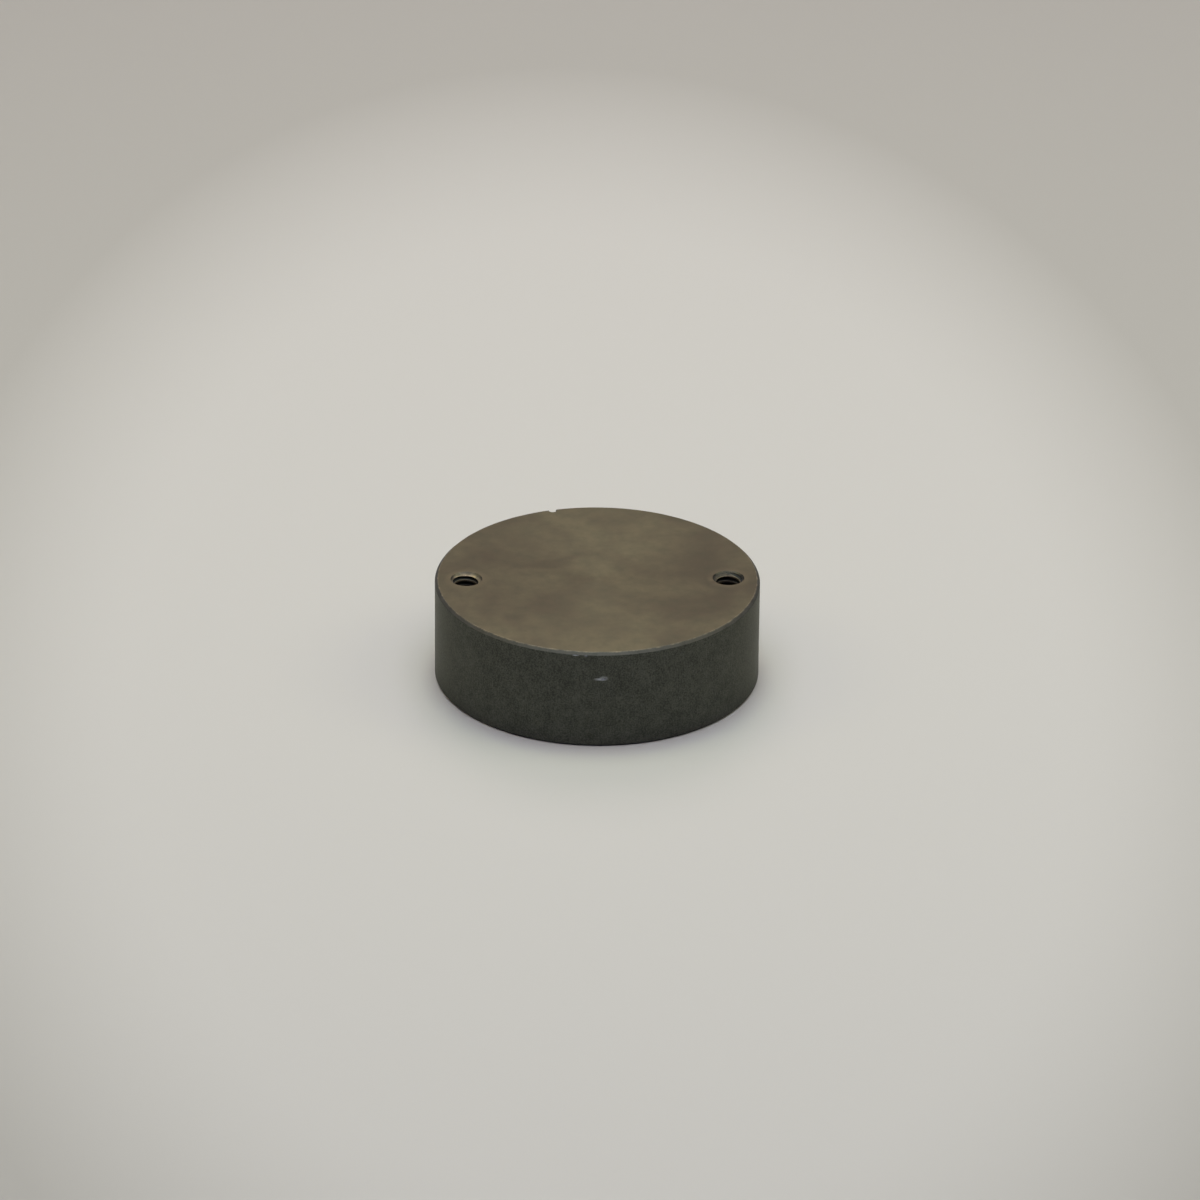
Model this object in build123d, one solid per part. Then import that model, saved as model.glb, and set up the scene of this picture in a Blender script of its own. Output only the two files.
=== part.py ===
from build123d import *
import os

# Compact round steam trap, face mounted.
#
# A thick blackened steel cup, closed on top, holds a balanced-pressure capsule over an outlet seat.
# Condensate comes up through an annular port and its strainer, fills the chamber round the capsule, and
# leaves down through the seat in the middle. The hot capsule pushes its valve head down on the seat. Two
# tapped holes run right through the rim: screws come up through them from the pipe adapter, and extractor
# screws go in on top.
#
# Millimetres. The origin is the middle of the mounting face, +Z is up, and the tapped holes lie on the X
# axis. Threads are plain bores at their minor diameter and plain shanks at their major diameter.

# --- Driving dimensions ---------------------------------------------------------------------------------
BODY_DIAMETER = 69.85          # 2 3/4 inch bar
BODY_HEIGHT = 22.225           # 7/8 inch
TOP_CHAMFER = 0.6
FOOT_CHAMFER = 0.4
ROOF_THICKNESS = 3.825

SCREW_SPACING = 56.25          # between the two tapped holes
SCREW_MINOR_DIAMETER = 5.1     # tapping drill of 1/4-20 UNC
SCREW_COUNTERSINK = 6.8        # mouth of each tapped hole

NOTCH_RADIUS = 0.9             # round inner end of the orientation nick in the top rim
NOTCH_DEPTH = 1.7              # inwards from the side
NOTCH_HEIGHT = 2.6
NOTCH_ANGLE = 105.2            # from +X, anticlockwise

CHAMBER_RADIUS = 19.5          # round the capsule
CLOSURE_RADIUS = 22.5          # bore that takes the base plate
LEDGE_Z = 8.0                  # where the closure bore ends and the body gasket seats

GASKET_THICKNESS = 0.8         # body gasket, compressed
FIT = 0.1                      # radial play of a loose part

BASE_FLANGE_Z = 3.0            # underside of the base plate's flange
BASE_FACE_RADIUS = 19.8        # raised face inside the retaining ring
OUTLET_RADIUS = 4.0
SEAT_THREAD_RADIUS = 5.0
INLET_PORT_INNER = 10.0
INLET_PORT_OUTER = 15.5
INLET_HOLES = 8
INLET_HOLE_RADIUS = 1.5

FACE_GASKET_DEPTH = 1.2
INNER_GASKET = (6.5, 9.0)      # inner and outer radius of each groove in the base plate's face
OUTER_GASKET = (16.3, 18.8)

RING_THICKNESS = 1.75          # spiral retaining ring
RING_INNER = 20.3
RING_GROOVE_RADIUS = 23.8
RING_UPPER_GAP = (-82.0, 2.0)  # angle of its middle, and width
RING_LOWER_GAP = (-92.6, 6.1)  # ends where the upper gap starts, where the strip steps down

SCREEN_THICKNESS = 0.3
SCREEN_LEDGE_Z = 1.5           # shoulders that the strainer screen lies against
SCREEN_SHOULDER = 0.6
SCREEN_HOLE_RADIUS = 0.45

SEAT_HEX = 13.0                # across flats
SEAT_ORIFICE_RADIUS = 1.4
SEAT_LIP_Z = 10.2
SEAT_GASKET_THICKNESS = 0.5

CAPSULE_RADIUS = 17.6
CAPSULE_RIM_Z = 11.6           # underside of the capsule where the carrier holds it
SHEET = 0.6                    # capsule plates
FOIL = 0.2                     # each diaphragm leaf
DIAPHRAGM_RISE = 1.5           # height of the dish when cold
DIAPHRAGM_FLAT = 4.0           # radius of its middle
DIAPHRAGM_CLAMP = 14.0         # inside radius of the clamped edge
DOME_TOP_Z = 15.8

VALVE_STROKE = 1.18            # cold and open to hot and shut
SEATED_GAP = 0.02

# --- Worked out from them -------------------------------------------------------------------------------
BODY_RADIUS = BODY_DIAMETER / 2
ROOF_Z = BODY_HEIGHT - ROOF_THICKNESS
BASE_TOP_Z = LEDGE_Z - GASKET_THICKNESS
INLET_CEILING_Z = 2.6
INLET_CIRCLE = (INLET_PORT_INNER + INLET_PORT_OUTER) / 2
RING_Z = BASE_FLANGE_Z - RING_THICKNESS
LEAF_Z = CAPSULE_RIM_Z + SHEET             # underside of the lower diaphragm's edge
TOP_PLATE_Z = LEAF_Z + 2 * FOIL
LEAF_MIDDLE_Z = LEAF_Z + DIAPHRAGM_RISE    # underside of the lower diaphragm's middle
VALVE_FACE_Z = SEAT_LIP_Z + SEATED_GAP + VALVE_STROKE
RIVET_RADIUS = 1.0


# --- Small helpers --------------------------------------------------------------------------------------
def turned(*outline):
    """Solid of revolution about Z from the (radius, height) corners of its half section."""
    return revolve(make_face(Polyline(*[(r, 0, z) for r, z in outline], close=True)), Axis.Z)


def disc(radius, low, high):
    """Upright cylinder on the Z axis between two heights."""
    return Pos(0, 0, low) * Cylinder(radius, high - low, align=(Align.CENTER, Align.CENTER, Align.MIN))


def washer(inner, outer, low, high):
    """Flat ring on the Z axis between two heights."""
    return disc(outer, low, high) - disc(inner, low, high)


def around(shape, radius, count, start=0.0):
    """Copies of a shape evenly spaced on a circle about Z, each turned with its place."""
    turns = [start + 360 * i / count for i in range(count)]
    return [Rot(0, 0, turn) * Pos(radius, 0, 0) * shape for turn in turns]


# --- Shell ----------------------------------------------------------------------------------------------
def tapped_hole():
    """Cutter for one through hole with a countersunk mouth at each face."""
    minor = SCREW_MINOR_DIAMETER / 2
    mouth = SCREW_COUNTERSINK / 2
    sink = mouth - minor
    return turned(
        (0, -1), (mouth + 1, -1), (minor, sink), (minor, BODY_HEIGHT - sink),
        (mouth + 1, BODY_HEIGHT + 1), (0, BODY_HEIGHT + 1),
    )


def housing():
    """Closed-top cup with the chamber, the closure bore, the ring groove, both tapped holes and the nick."""
    cup = turned(
        (CLOSURE_RADIUS, 0), (BODY_RADIUS - FOOT_CHAMFER, 0), (BODY_RADIUS, FOOT_CHAMFER),
        (BODY_RADIUS, BODY_HEIGHT - TOP_CHAMFER), (BODY_RADIUS - TOP_CHAMFER, BODY_HEIGHT), (0, BODY_HEIGHT),
        (0, ROOF_Z), (CHAMBER_RADIUS, ROOF_Z), (CHAMBER_RADIUS, LEDGE_Z), (CLOSURE_RADIUS, LEDGE_Z),
        (CLOSURE_RADIUS, BASE_FLANGE_Z), (RING_GROOVE_RADIUS, BASE_FLANGE_Z),
        (RING_GROOVE_RADIUS, RING_Z), (CLOSURE_RADIUS, RING_Z),
    )
    holes = [Pos(side * SCREW_SPACING / 2, 0, 0) * tapped_hole() for side in (-1, 1)]
    middle = BODY_RADIUS - NOTCH_DEPTH + NOTCH_RADIUS
    low, high = BODY_HEIGHT - NOTCH_HEIGHT, BODY_HEIGHT + 1
    nick = Pos(middle, 0, 0) * disc(NOTCH_RADIUS, low, high)
    nick += Pos(middle + 2, 0, (low + high) / 2) * Box(4, 2 * NOTCH_RADIUS, high - low)
    return cup - holes - Rot(0, 0, NOTCH_ANGLE) * nick


# --- Closure --------------------------------------------------------------------------------------------
def base_plate():
    """Flanged closure with the middle outlet, the annular inlet port and two grooves for face gaskets."""
    plate = turned(
        (OUTLET_RADIUS, 0), (BASE_FACE_RADIUS, 0), (BASE_FACE_RADIUS, BASE_FLANGE_Z),
        (CLOSURE_RADIUS - FIT, BASE_FLANGE_Z), (CLOSURE_RADIUS - FIT, BASE_TOP_Z),
        (SEAT_THREAD_RADIUS, BASE_TOP_Z), (SEAT_THREAD_RADIUS, BASE_FLANGE_Z), (OUTLET_RADIUS, BASE_FLANGE_Z),
    )
    plate -= [washer(*groove, 0, FACE_GASKET_DEPTH) for groove in (INNER_GASKET, OUTER_GASKET)]
    plate -= washer(INLET_PORT_INNER, INLET_PORT_OUTER, 0, SCREEN_LEDGE_Z)
    throat = (INLET_PORT_INNER + SCREEN_SHOULDER, INLET_PORT_OUTER - SCREEN_SHOULDER)
    plate -= washer(*throat, SCREEN_LEDGE_Z, INLET_CEILING_Z)
    return plate - around(disc(INLET_HOLE_RADIUS, INLET_CEILING_Z, BASE_TOP_Z), INLET_CIRCLE, INLET_HOLES)


def retaining_ring():
    """Spiral ring of two turns: each half of its thickness has its own gap, and the two gaps meet."""
    outer = RING_GROOVE_RADIUS - FIT
    turn = RING_THICKNESS / 2
    coil = []
    for low, (gap_angle, width) in ((RING_Z, RING_LOWER_GAP), (RING_Z + turn, RING_UPPER_GAP)):
        gap = Pos((RING_INNER + outer) / 2, 0, low + turn / 2) * Box(2 * (outer - RING_INNER), width, 2 * turn)
        coil.append(washer(RING_INNER, outer, low, low + turn) - Rot(0, 0, gap_angle) * gap)
    return coil[0] + coil[1]


def body_gasket():
    """Soft ring squeezed between the base plate and the housing's ledge."""
    return washer(CHAMBER_RADIUS + FIT, CLOSURE_RADIUS - 2 * FIT, BASE_TOP_Z, LEDGE_Z)


def face_gasket(groove):
    """Flat ring that fills a groove in the base plate's face, flush with the mounting face."""
    inner, outer = groove
    return washer(inner + FIT, outer - FIT, 0, FACE_GASKET_DEPTH)


def strainer_screen():
    """Perforated ring across the inlet port, on its two shoulders."""
    low = SCREEN_LEDGE_Z - SCREEN_THICKNESS
    ring = washer(INLET_PORT_INNER + FIT, INLET_PORT_OUTER - FIT, low, SCREEN_LEDGE_Z)
    hole = disc(SCREEN_HOLE_RADIUS, low, SCREEN_LEDGE_Z)
    rows = ((11.4, 40), (12.75, 46), (14.1, 52))
    return ring - [cut for radius, count in rows for cut in around(hole, radius, count)]


def strainer_retainer():
    """Split spring ring that keeps the screen up against its shoulders."""
    outer = INLET_PORT_OUTER - 0.02
    ring = washer(outer - 0.9, outer, 0.45, SCREEN_LEDGE_Z - SCREEN_THICKNESS)
    return ring - Rot(0, 0, 40) * Pos(outer, 0, 0.8) * Box(3, 1.6, 2)


# --- Outlet seat ----------------------------------------------------------------------------------------
def outlet_seat():
    """Screwed-in hexagon seat with a raised lip round its orifice and a wider relief below."""
    shoulder = BASE_TOP_Z + SEAT_GASKET_THICKNESS
    head_top = SEAT_LIP_Z - 0.8
    relief = 2.6
    stem = turned(
        (SEAT_ORIFICE_RADIUS, SEAT_LIP_Z), (SEAT_ORIFICE_RADIUS + 0.8, SEAT_LIP_Z), (3.2, head_top),
        (3.2, shoulder), (SEAT_THREAD_RADIUS - 0.05, shoulder), (SEAT_THREAD_RADIUS - 0.05, BASE_FLANGE_Z),
        (relief, BASE_FLANGE_Z), (relief, BASE_TOP_Z - 1.5), (SEAT_ORIFICE_RADIUS, BASE_TOP_Z - 0.3),
    )
    hexagon = extrude(
        Plane.XY.offset(shoulder) * RegularPolygon(SEAT_HEX / 2, 6, major_radius=False), head_top - shoulder
    )
    crown = turned(
        (3.0, shoulder), (SEAT_HEX, shoulder), (SEAT_HEX / 2 + 0.9, head_top - 0.5),
        (SEAT_HEX / 2, head_top), (3.0, head_top),
    )
    return stem + (hexagon & crown)


def seat_gasket():
    """Copper washer under the seat's hexagon."""
    outer = SEAT_HEX / 2 + 0.4
    return washer(SEAT_THREAD_RADIUS + 0.05, outer, BASE_TOP_Z, BASE_TOP_Z + SEAT_GASKET_THICKNESS)


# --- Capsule --------------------------------------------------------------------------------------------
def capsule_carrier():
    """Windowed ring that stands on the base plate and holds the capsule's edge on an inner shelf."""
    outer = CHAMBER_RADIUS - 0.3
    wall = CAPSULE_RADIUS + 0.3
    shelf = 16.2
    top = TOP_PLATE_Z + 1.4
    ring = turned(
        (wall, BASE_TOP_Z), (outer, BASE_TOP_Z), (outer, top), (wall, top), (wall, CAPSULE_RIM_Z),
        (shelf, CAPSULE_RIM_Z), (shelf, CAPSULE_RIM_Z - 0.8), (wall, CAPSULE_RIM_Z - 1.2),
    )
    window = Pos(0, 0, BASE_TOP_Z + 1.9) * Box(6, 6.5, 2.2)
    # the windows let condensate reach the middle under the shelf
    return ring - around(window, (wall + outer) / 2, 6, start=30)


def hold_down_spring():
    """Flat hub under the roof with three bent legs that stand on the capsule's edge."""
    strip = 0.4
    foot = TOP_PLATE_Z + SHEET
    hub = washer(5.0, 9.0, ROOF_Z - strip, ROOF_Z)
    outline = Polyline(
        (8.0, 0, ROOF_Z), (9.3, 0, ROOF_Z), (14.9, 0, foot + strip), (17.0, 0, foot + strip),
        (17.0, 0, foot), (14.7, 0, foot), (9.1, 0, ROOF_Z - strip), (8.0, 0, ROOF_Z - strip), close=True,
    )
    leg = extrude(make_face(outline), 2.5, both=True)
    return hub + [Rot(0, 0, 120 * i + 90) * leg for i in range(3)]


def capsule_bottom_plate():
    """Flat lower half of the capsule, with a wide middle opening and eight pressure holes."""
    plate = washer(6.0, CAPSULE_RADIUS, CAPSULE_RIM_Z, LEAF_Z)
    return plate - around(disc(1.0, CAPSULE_RIM_Z, LEAF_Z), 10.0, 8)


def diaphragm(lift):
    """One foil leaf, dished upward when cold, with its edge flat in the weld and a hole for the rivet."""
    edge = LEAF_Z + lift
    middle = edge + DIAPHRAGM_RISE
    return turned(
        (RIVET_RADIUS, middle), (DIAPHRAGM_FLAT, middle), (DIAPHRAGM_CLAMP, edge), (CAPSULE_RADIUS, edge),
        (CAPSULE_RADIUS, edge + FOIL), (DIAPHRAGM_CLAMP, edge + FOIL), (DIAPHRAGM_FLAT, middle + FOIL),
        (RIVET_RADIUS, middle + FOIL),
    )


def capsule_top_plate():
    """Dished upper half of the capsule; the fill is sealed between it and the diaphragms."""
    bore = 1.2
    return turned(
        (CAPSULE_RADIUS, TOP_PLATE_Z), (CAPSULE_RADIUS, TOP_PLATE_Z + SHEET), (14.6, TOP_PLATE_Z + SHEET),
        (10.8, DOME_TOP_Z), (bore, DOME_TOP_Z), (bore, DOME_TOP_Z - SHEET), (10.5, DOME_TOP_Z - SHEET),
        (14.3, TOP_PLATE_Z),
    )


def fill_plug():
    """Plug welded in the filling hole on top of the capsule."""
    shank = 1.2
    return turned(
        (0, DOME_TOP_Z - SHEET), (shank, DOME_TOP_Z - SHEET), (shank, DOME_TOP_Z), (2.0, DOME_TOP_Z),
        (1.7, DOME_TOP_Z + 0.4), (1.0, DOME_TOP_Z + 0.6), (0, DOME_TOP_Z + 0.6),
    )


# --- Valve ----------------------------------------------------------------------------------------------
def valve_head():
    """Hardened disc with a boss up to the diaphragm and a blind hole for the rivet."""
    return turned(
        (0, VALVE_FACE_Z), (3.9, VALVE_FACE_Z), (4.2, VALVE_FACE_Z + 0.3), (4.2, VALVE_FACE_Z + 1.4),
        (2.6, VALVE_FACE_Z + 1.6), (2.6, LEAF_MIDDLE_Z), (RIVET_RADIUS, LEAF_MIDDLE_Z),
        (RIVET_RADIUS, VALVE_FACE_Z + 0.7), (0, VALVE_FACE_Z + 0.7),
    )


def backing_washer():
    """Washer that clamps the middle of both leaves against the valve head's boss."""
    low = LEAF_MIDDLE_Z + 2 * FOIL
    return washer(RIVET_RADIUS, 3.5, low, low + 0.3)


def valve_rivet():
    """Rivet through the washer and the leaves into the valve head."""
    head = LEAF_MIDDLE_Z + 2 * FOIL + 0.3
    return turned(
        (0, VALVE_FACE_Z + 0.7), (RIVET_RADIUS, VALVE_FACE_Z + 0.7), (RIVET_RADIUS, head), (1.8, head),
        (1.5, head + 0.3), (0, head + 0.45),
    )


# --- Write one STEP per node ----------------------------------------------------------------------------
NODES = {
    "housing": housing(),
    "base_plate": base_plate(),
    "retaining_ring": retaining_ring(),
    "body_gasket": body_gasket(),
    "inner_face_gasket": face_gasket(INNER_GASKET),
    "outer_face_gasket": face_gasket(OUTER_GASKET),
    "strainer_screen": strainer_screen(),
    "strainer_retainer": strainer_retainer(),
    "outlet_seat": outlet_seat(),
    "seat_gasket": seat_gasket(),
    "capsule_carrier": capsule_carrier(),
    "hold_down_spring": hold_down_spring(),
    "capsule_bottom_plate": capsule_bottom_plate(),
    "diaphragm_lower": diaphragm(0),
    "diaphragm_upper": diaphragm(FOIL),
    "capsule_top_plate": capsule_top_plate(),
    "fill_plug": fill_plug(),
    "valve_head": valve_head(),
    "backing_washer": backing_washer(),
    "valve_rivet": valve_rivet(),
}

os.makedirs("parts", exist_ok=True)
for name, shape in NODES.items():
    export_step(shape, f"parts/{name}.step")
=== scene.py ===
"""Compact round steam trap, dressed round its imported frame.

The trap is a puck of heat-blackened steel with a closed top and two tapped holes through its rim. A stainless
base plate, held by a spiral ring, closes it from below. Inside, a thermostatic capsule stands in a windowed
carrier over the outlet seat. Every size is in millimetres until a mesh is written in metres.
"""

from __future__ import annotations

import logging
import math
from collections.abc import Callable, Iterable, Sequence
from dataclasses import dataclass, field
from enum import Enum
from typing import NamedTuple

import bmesh
import bpy
import numpy as np
from mathutils import Matrix, Vector


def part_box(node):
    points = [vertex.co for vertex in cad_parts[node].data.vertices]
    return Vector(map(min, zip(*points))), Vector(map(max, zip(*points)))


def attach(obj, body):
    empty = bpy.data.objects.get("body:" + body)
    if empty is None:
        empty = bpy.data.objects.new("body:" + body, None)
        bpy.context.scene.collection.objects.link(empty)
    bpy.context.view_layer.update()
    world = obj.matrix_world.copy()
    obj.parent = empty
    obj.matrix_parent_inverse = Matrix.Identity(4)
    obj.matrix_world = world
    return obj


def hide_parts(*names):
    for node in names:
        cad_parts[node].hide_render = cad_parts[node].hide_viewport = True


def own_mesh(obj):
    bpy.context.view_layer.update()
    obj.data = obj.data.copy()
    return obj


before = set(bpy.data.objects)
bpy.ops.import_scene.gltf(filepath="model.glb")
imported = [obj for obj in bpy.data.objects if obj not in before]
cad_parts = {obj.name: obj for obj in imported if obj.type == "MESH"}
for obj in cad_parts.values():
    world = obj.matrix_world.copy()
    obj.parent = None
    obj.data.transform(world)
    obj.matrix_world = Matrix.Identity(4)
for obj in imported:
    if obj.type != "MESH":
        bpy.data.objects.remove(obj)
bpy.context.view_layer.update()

log = logging.getLogger("steam_trap")

MM = 0.001
Point = tuple[float, float]
Corner = tuple[float, float, float]
Piece = bpy.types.Object
Tree = bpy.types.NodeTree
Node = bpy.types.Node
Socket = bpy.types.NodeSocket
Feed = Node | Socket  # what a node's input may be linked to


# ---------------------------------------------------------------------------------------------------------
# Room that the frame gives
# ---------------------------------------------------------------------------------------------------------
class Body(Enum):
    """Bodies of the frame that pieces ride on."""

    TRAP = "trap_body"
    CAPSULE = "capsule"
    VALVE = "valve"


@dataclass(frozen=True)
class Room:
    """Room that a CAD node takes about the Z axis, in millimetres."""

    radius: float
    low: float
    high: float

    @classmethod
    def of(cls, node: str) -> "Room":
        """Measure one node of the frame.

        Args:
            node: Name of the CAD node.

        Returns:
            Its outer radius and its lowest and highest height.
        """
        low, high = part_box(node)
        return cls((high.x - low.x) / 2 / MM, low.z / MM, high.z / MM)


# ---------------------------------------------------------------------------------------------------------
# Meshes
# ---------------------------------------------------------------------------------------------------------
class Cut(Enum):
    """How one solid works on another."""

    REMOVE = "DIFFERENCE"
    ADD = "UNION"
    KEEP = "INTERSECT"


def eased(corners: Sequence[Corner], steps: int = 5) -> list[Point]:
    """Round the corners of an outline and put a support point beside each rounding.

    Args:
        corners: Radius, height and easing radius of each corner, in order.
        steps: Straight steps in each rounding.

    Returns:
        The outline's points.
    """
    points: list[Point] = []
    for index, (x, y, ease) in enumerate(corners):
        here = Vector((x, y))
        before = Vector(corners[index - 1][:2]) - here
        after = Vector(corners[(index + 1) % len(corners)][:2]) - here
        if ease <= 0 or before.length < 1e-6 or after.length < 1e-6:
            points.append((x, y))
            continue
        half = before.angle(after) / 2
        reach = min(ease / math.tan(half), 0.45 * before.length, 0.45 * after.length)
        ease = reach * math.tan(half)
        start = here + before.normalized() * reach
        end = here + after.normalized() * reach
        centre = here + (before.normalized() + after.normalized()).normalized() * ease / math.sin(half)
        first, last = start - centre, end - centre
        sweep = first.angle_signed(last)
        if before.length > 3 * reach:
            points.append(tuple(start + before.normalized() * 0.35 * reach))
        for step in range(steps + 1):
            turn = Matrix.Rotation(-sweep * step / steps, 2)
            points.append(tuple(centre + turn @ first))
        if after.length > 3 * reach:
            points.append(tuple(end + after.normalized() * 0.35 * reach))
    return points


def mesh_piece(name: str, points: Iterable[Sequence[float]], faces: Iterable[Sequence[int]]) -> Piece:
    """Make a closed piece whose faces point outwards.

    Args:
        name: Name of the piece.
        points: Corners in millimetres.
        faces: Corner numbers of each face.

    Returns:
        The new object, at the origin.
    """
    mesh = bpy.data.meshes.new(name)
    mesh.from_pydata([[value * MM for value in point] for point in points], [], list(faces))
    work = bmesh.new()
    work.from_mesh(mesh)
    bmesh.ops.remove_doubles(work, verts=work.verts, dist=1e-7)
    bmesh.ops.recalc_face_normals(work, faces=work.faces)
    work.to_mesh(mesh)
    work.free()
    piece = bpy.data.objects.new(name, mesh)
    bpy.context.scene.collection.objects.link(piece)
    return piece


def turned(name: str, outline: Sequence[Point], segments: int = 160) -> Piece:
    """Turn an outline about the Z axis, as on a lathe.

    An outline that starts and ends on the axis makes a solid. Any other makes a ring.

    Args:
        name: Name of the piece.
        outline: Radius and height of each point of the half section.
        segments: Faces round the axis.

    Returns:
        The turned piece.
    """
    solid = outline[0][0] < 1e-6
    rows = [p for p in outline if p[0] >= 1e-6]
    angles = [math.tau * k / segments for k in range(segments)]
    points = [(r * math.cos(a), r * math.sin(a), z) for r, z in rows for a in angles]
    count = len(rows)
    faces: list[tuple[int, ...]] = []
    for row in range(count - 1 if solid else count):
        low, high = row * segments, (row + 1) % count * segments
        for k in range(segments):
            after = (k + 1) % segments
            faces.append((low + k, low + after, high + after, high + k))
    if solid:
        for row, height in ((0, outline[0][1]), (count - 1, outline[-1][1])):
            ring = range(row * segments, (row + 1) * segments)
            if abs(height - rows[row][1]) < 1e-6:
                faces.append(tuple(ring))
                continue
            points.append((0.0, 0.0, height))
            faces += [(ring[k - 1], ring[k], len(points) - 1) for k in range(segments)]
    return mesh_piece(name, points, faces)


def prism(name: str, outline: Sequence[Point], low: float, high: float) -> Piece:
    """Raise a flat outline in the XY plane between two heights.

    Args:
        name: Name of the piece.
        outline: X and Y of each corner.
        low: Height of its lower face.
        high: Height of its upper face.

    Returns:
        The prism.
    """
    count = len(outline)
    points = [(x, y, z) for z in (low, high) for x, y in outline]
    faces = [(k, (k + 1) % count, (k + 1) % count + count, k + count) for k in range(count)]
    faces += [tuple(range(count)), tuple(range(count, 2 * count))]
    return mesh_piece(name, points, faces)


def move(piece: Piece, turn_deg: float = 0.0, shift: Sequence[float] = (0, 0, 0)) -> Piece:
    """Turn a piece's mesh about Z, then shift it, and leave its object at the origin.

    Args:
        piece: The piece.
        turn_deg: Turn about Z in degrees.
        shift: Shift in millimetres, before the turn.

    Returns:
        The same piece.
    """
    place = Matrix.Rotation(math.radians(turn_deg), 4, "Z") @ Matrix.Translation(Vector(shift) * MM)
    piece.data.transform(place)
    return piece


def plain_copy(piece: Piece) -> None:
    """Replace a piece's mesh with what its modifiers make of it, and drop the modifiers."""
    evaluated = piece.evaluated_get(bpy.context.evaluated_depsgraph_get())
    result = bpy.data.meshes.new_from_object(evaluated)
    piece.modifiers.clear()
    old, piece.data = piece.data, result
    bpy.data.meshes.remove(old)
    result.name = piece.name


def combine(piece: Piece, cut: Cut, tools: Iterable[Piece]) -> Piece:
    """Work on a piece with other solids, which are used up.

    Args:
        piece: The solid that is kept.
        cut: What each tool does to it.
        tools: Closed solids.

    Returns:
        The same piece.
    """
    for tool in tools:
        modifier = piece.modifiers.new("cut", "BOOLEAN")
        modifier.operation = cut.value
        modifier.solver = "EXACT"
        modifier.object = tool
        plain_copy(piece)
        used = tool.data
        bpy.data.objects.remove(tool)
        bpy.data.meshes.remove(used)
    return piece


def around(make: Callable[[int], Piece], count: int, radius: float, start_deg: float = 0.0) -> list[Piece]:
    """Place made solids evenly on a circle about Z.

    Args:
        make: Gives the solid with a number, standing at the origin.
        count: How many.
        radius: Radius of the circle.
        start_deg: Angle of the first.

    Returns:
        The placed solids.
    """
    return [move(make(k), start_deg + 360 * k / count, (radius, 0, 0)) for k in range(count)]


@dataclass(frozen=True)
class ScrewThread:
    """A right-hand thread with 60 degree flanks and narrow flats."""

    major: float
    minor: float
    pitch: float

    def surface(self, low: float, high: float, segments: int) -> tuple[np.ndarray, int]:
        """Work out the helical surface as rows of points that climb one pitch in each turn.

        Args:
            low: Height below which the surface starts.
            high: Height above which it ends.
            segments: Steps round the axis.

        Returns:
            Points by row and step, and the number of rows in one pitch.
        """
        flat = self.pitch / 16
        flank = (self.major - self.minor) / 2 * math.tan(math.radians(30))
        section = ((-flank - flat, self.minor), (-flat, self.major), (flat, self.major), (flank + flat, self.minor))
        turns = math.ceil((high - low) / self.pitch) + 1
        rows = [(low - self.pitch + turn * self.pitch + z, d / 2) for turn in range(turns + 1) for z, d in section]
        steps = np.arange(segments + 1)
        angle = steps / segments * math.tau
        climb = steps / segments * self.pitch
        grid = [np.stack([r * np.cos(angle), r * np.sin(angle), z + climb], axis=1) for z, r in rows]
        return np.array(grid), len(section)

    def plug(self, name: str, low: float, high: float, start_deg: float, segments: int = 72) -> Piece:
        """Make the solid that a tapped hole leaves out, longer than asked at both ends.

        Args:
            name: Name of the solid.
            low: Lower end of the hole.
            high: Upper end of the hole.
            start_deg: Turn of the thread about its axis.
            segments: Steps round the axis.

        Returns:
            A closed solid on the Z axis.
        """
        grid, per_turn = self.surface(low, high, segments)
        rows = len(grid)
        points = [tuple(p) for p in grid.reshape(-1, 3)]
        wide = segments + 1
        faces: list[tuple[int, ...]] = []
        for row in range(rows - 1):
            for k in range(segments):
                corner = row * wide + k
                faces.append((corner, corner + 1, corner + 1 + wide, corner + wide))
        ends = ((0, low - self.pitch), (rows - 1 - per_turn, grid[-1, -1, 2]))
        for first, height in ends:
            middle = len(points)
            points.append((0.0, 0.0, float(height)))
            edge_row = first if first == 0 else rows - 1
            rim = [edge_row * wide + k for k in range(wide)]
            column = 0 if first == 0 else segments
            seam = [(first + step) * wide + column for step in range(per_turn + 1)]
            ring = rim + seam[::-1][:-1] if first == 0 else seam[:-1] + rim[::-1]
            faces += [(middle, ring[k], ring[(k + 1) % len(ring)]) for k in range(len(ring))]
        return move(mesh_piece(name, points, faces), start_deg)


# ---------------------------------------------------------------------------------------------------------
# Node trees
# ---------------------------------------------------------------------------------------------------------
def add(tree: Tree, kind: str, inputs: dict | None = None, **settings: object) -> Node:
    """Add one node with its settings, and fill or link its inputs.

    Args:
        tree: Tree that gets the node.
        kind: Blender's type name of the node.
        inputs: Value, socket or node for each input, by name or number. A node gives its first live output.
        settings: Properties of the node.

    Returns:
        The new node.
    """
    node = tree.nodes.new(kind)
    for key, value in settings.items():
        setattr(node, key, value)
    for key, value in (inputs or {}).items():
        if isinstance(value, Node):
            value = next(socket for socket in value.outputs if socket.enabled)
        if isinstance(value, Socket):
            tree.links.new(value, node.inputs[key])
        else:
            node.inputs[key].default_value = value
    return node


def linear(code: str) -> tuple[float, float, float, float]:
    """Turn an sRGB hex colour such as "#6b6352" to linear red, green, blue and alpha."""
    parts = [int(code[k : k + 2], 16) / 255 for k in (1, 3, 5)]
    red, green, blue = (p / 12.92 if p <= 0.04045 else ((p + 0.055) / 1.055) ** 2.4 for p in parts)
    return red, green, blue, 1.0


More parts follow.
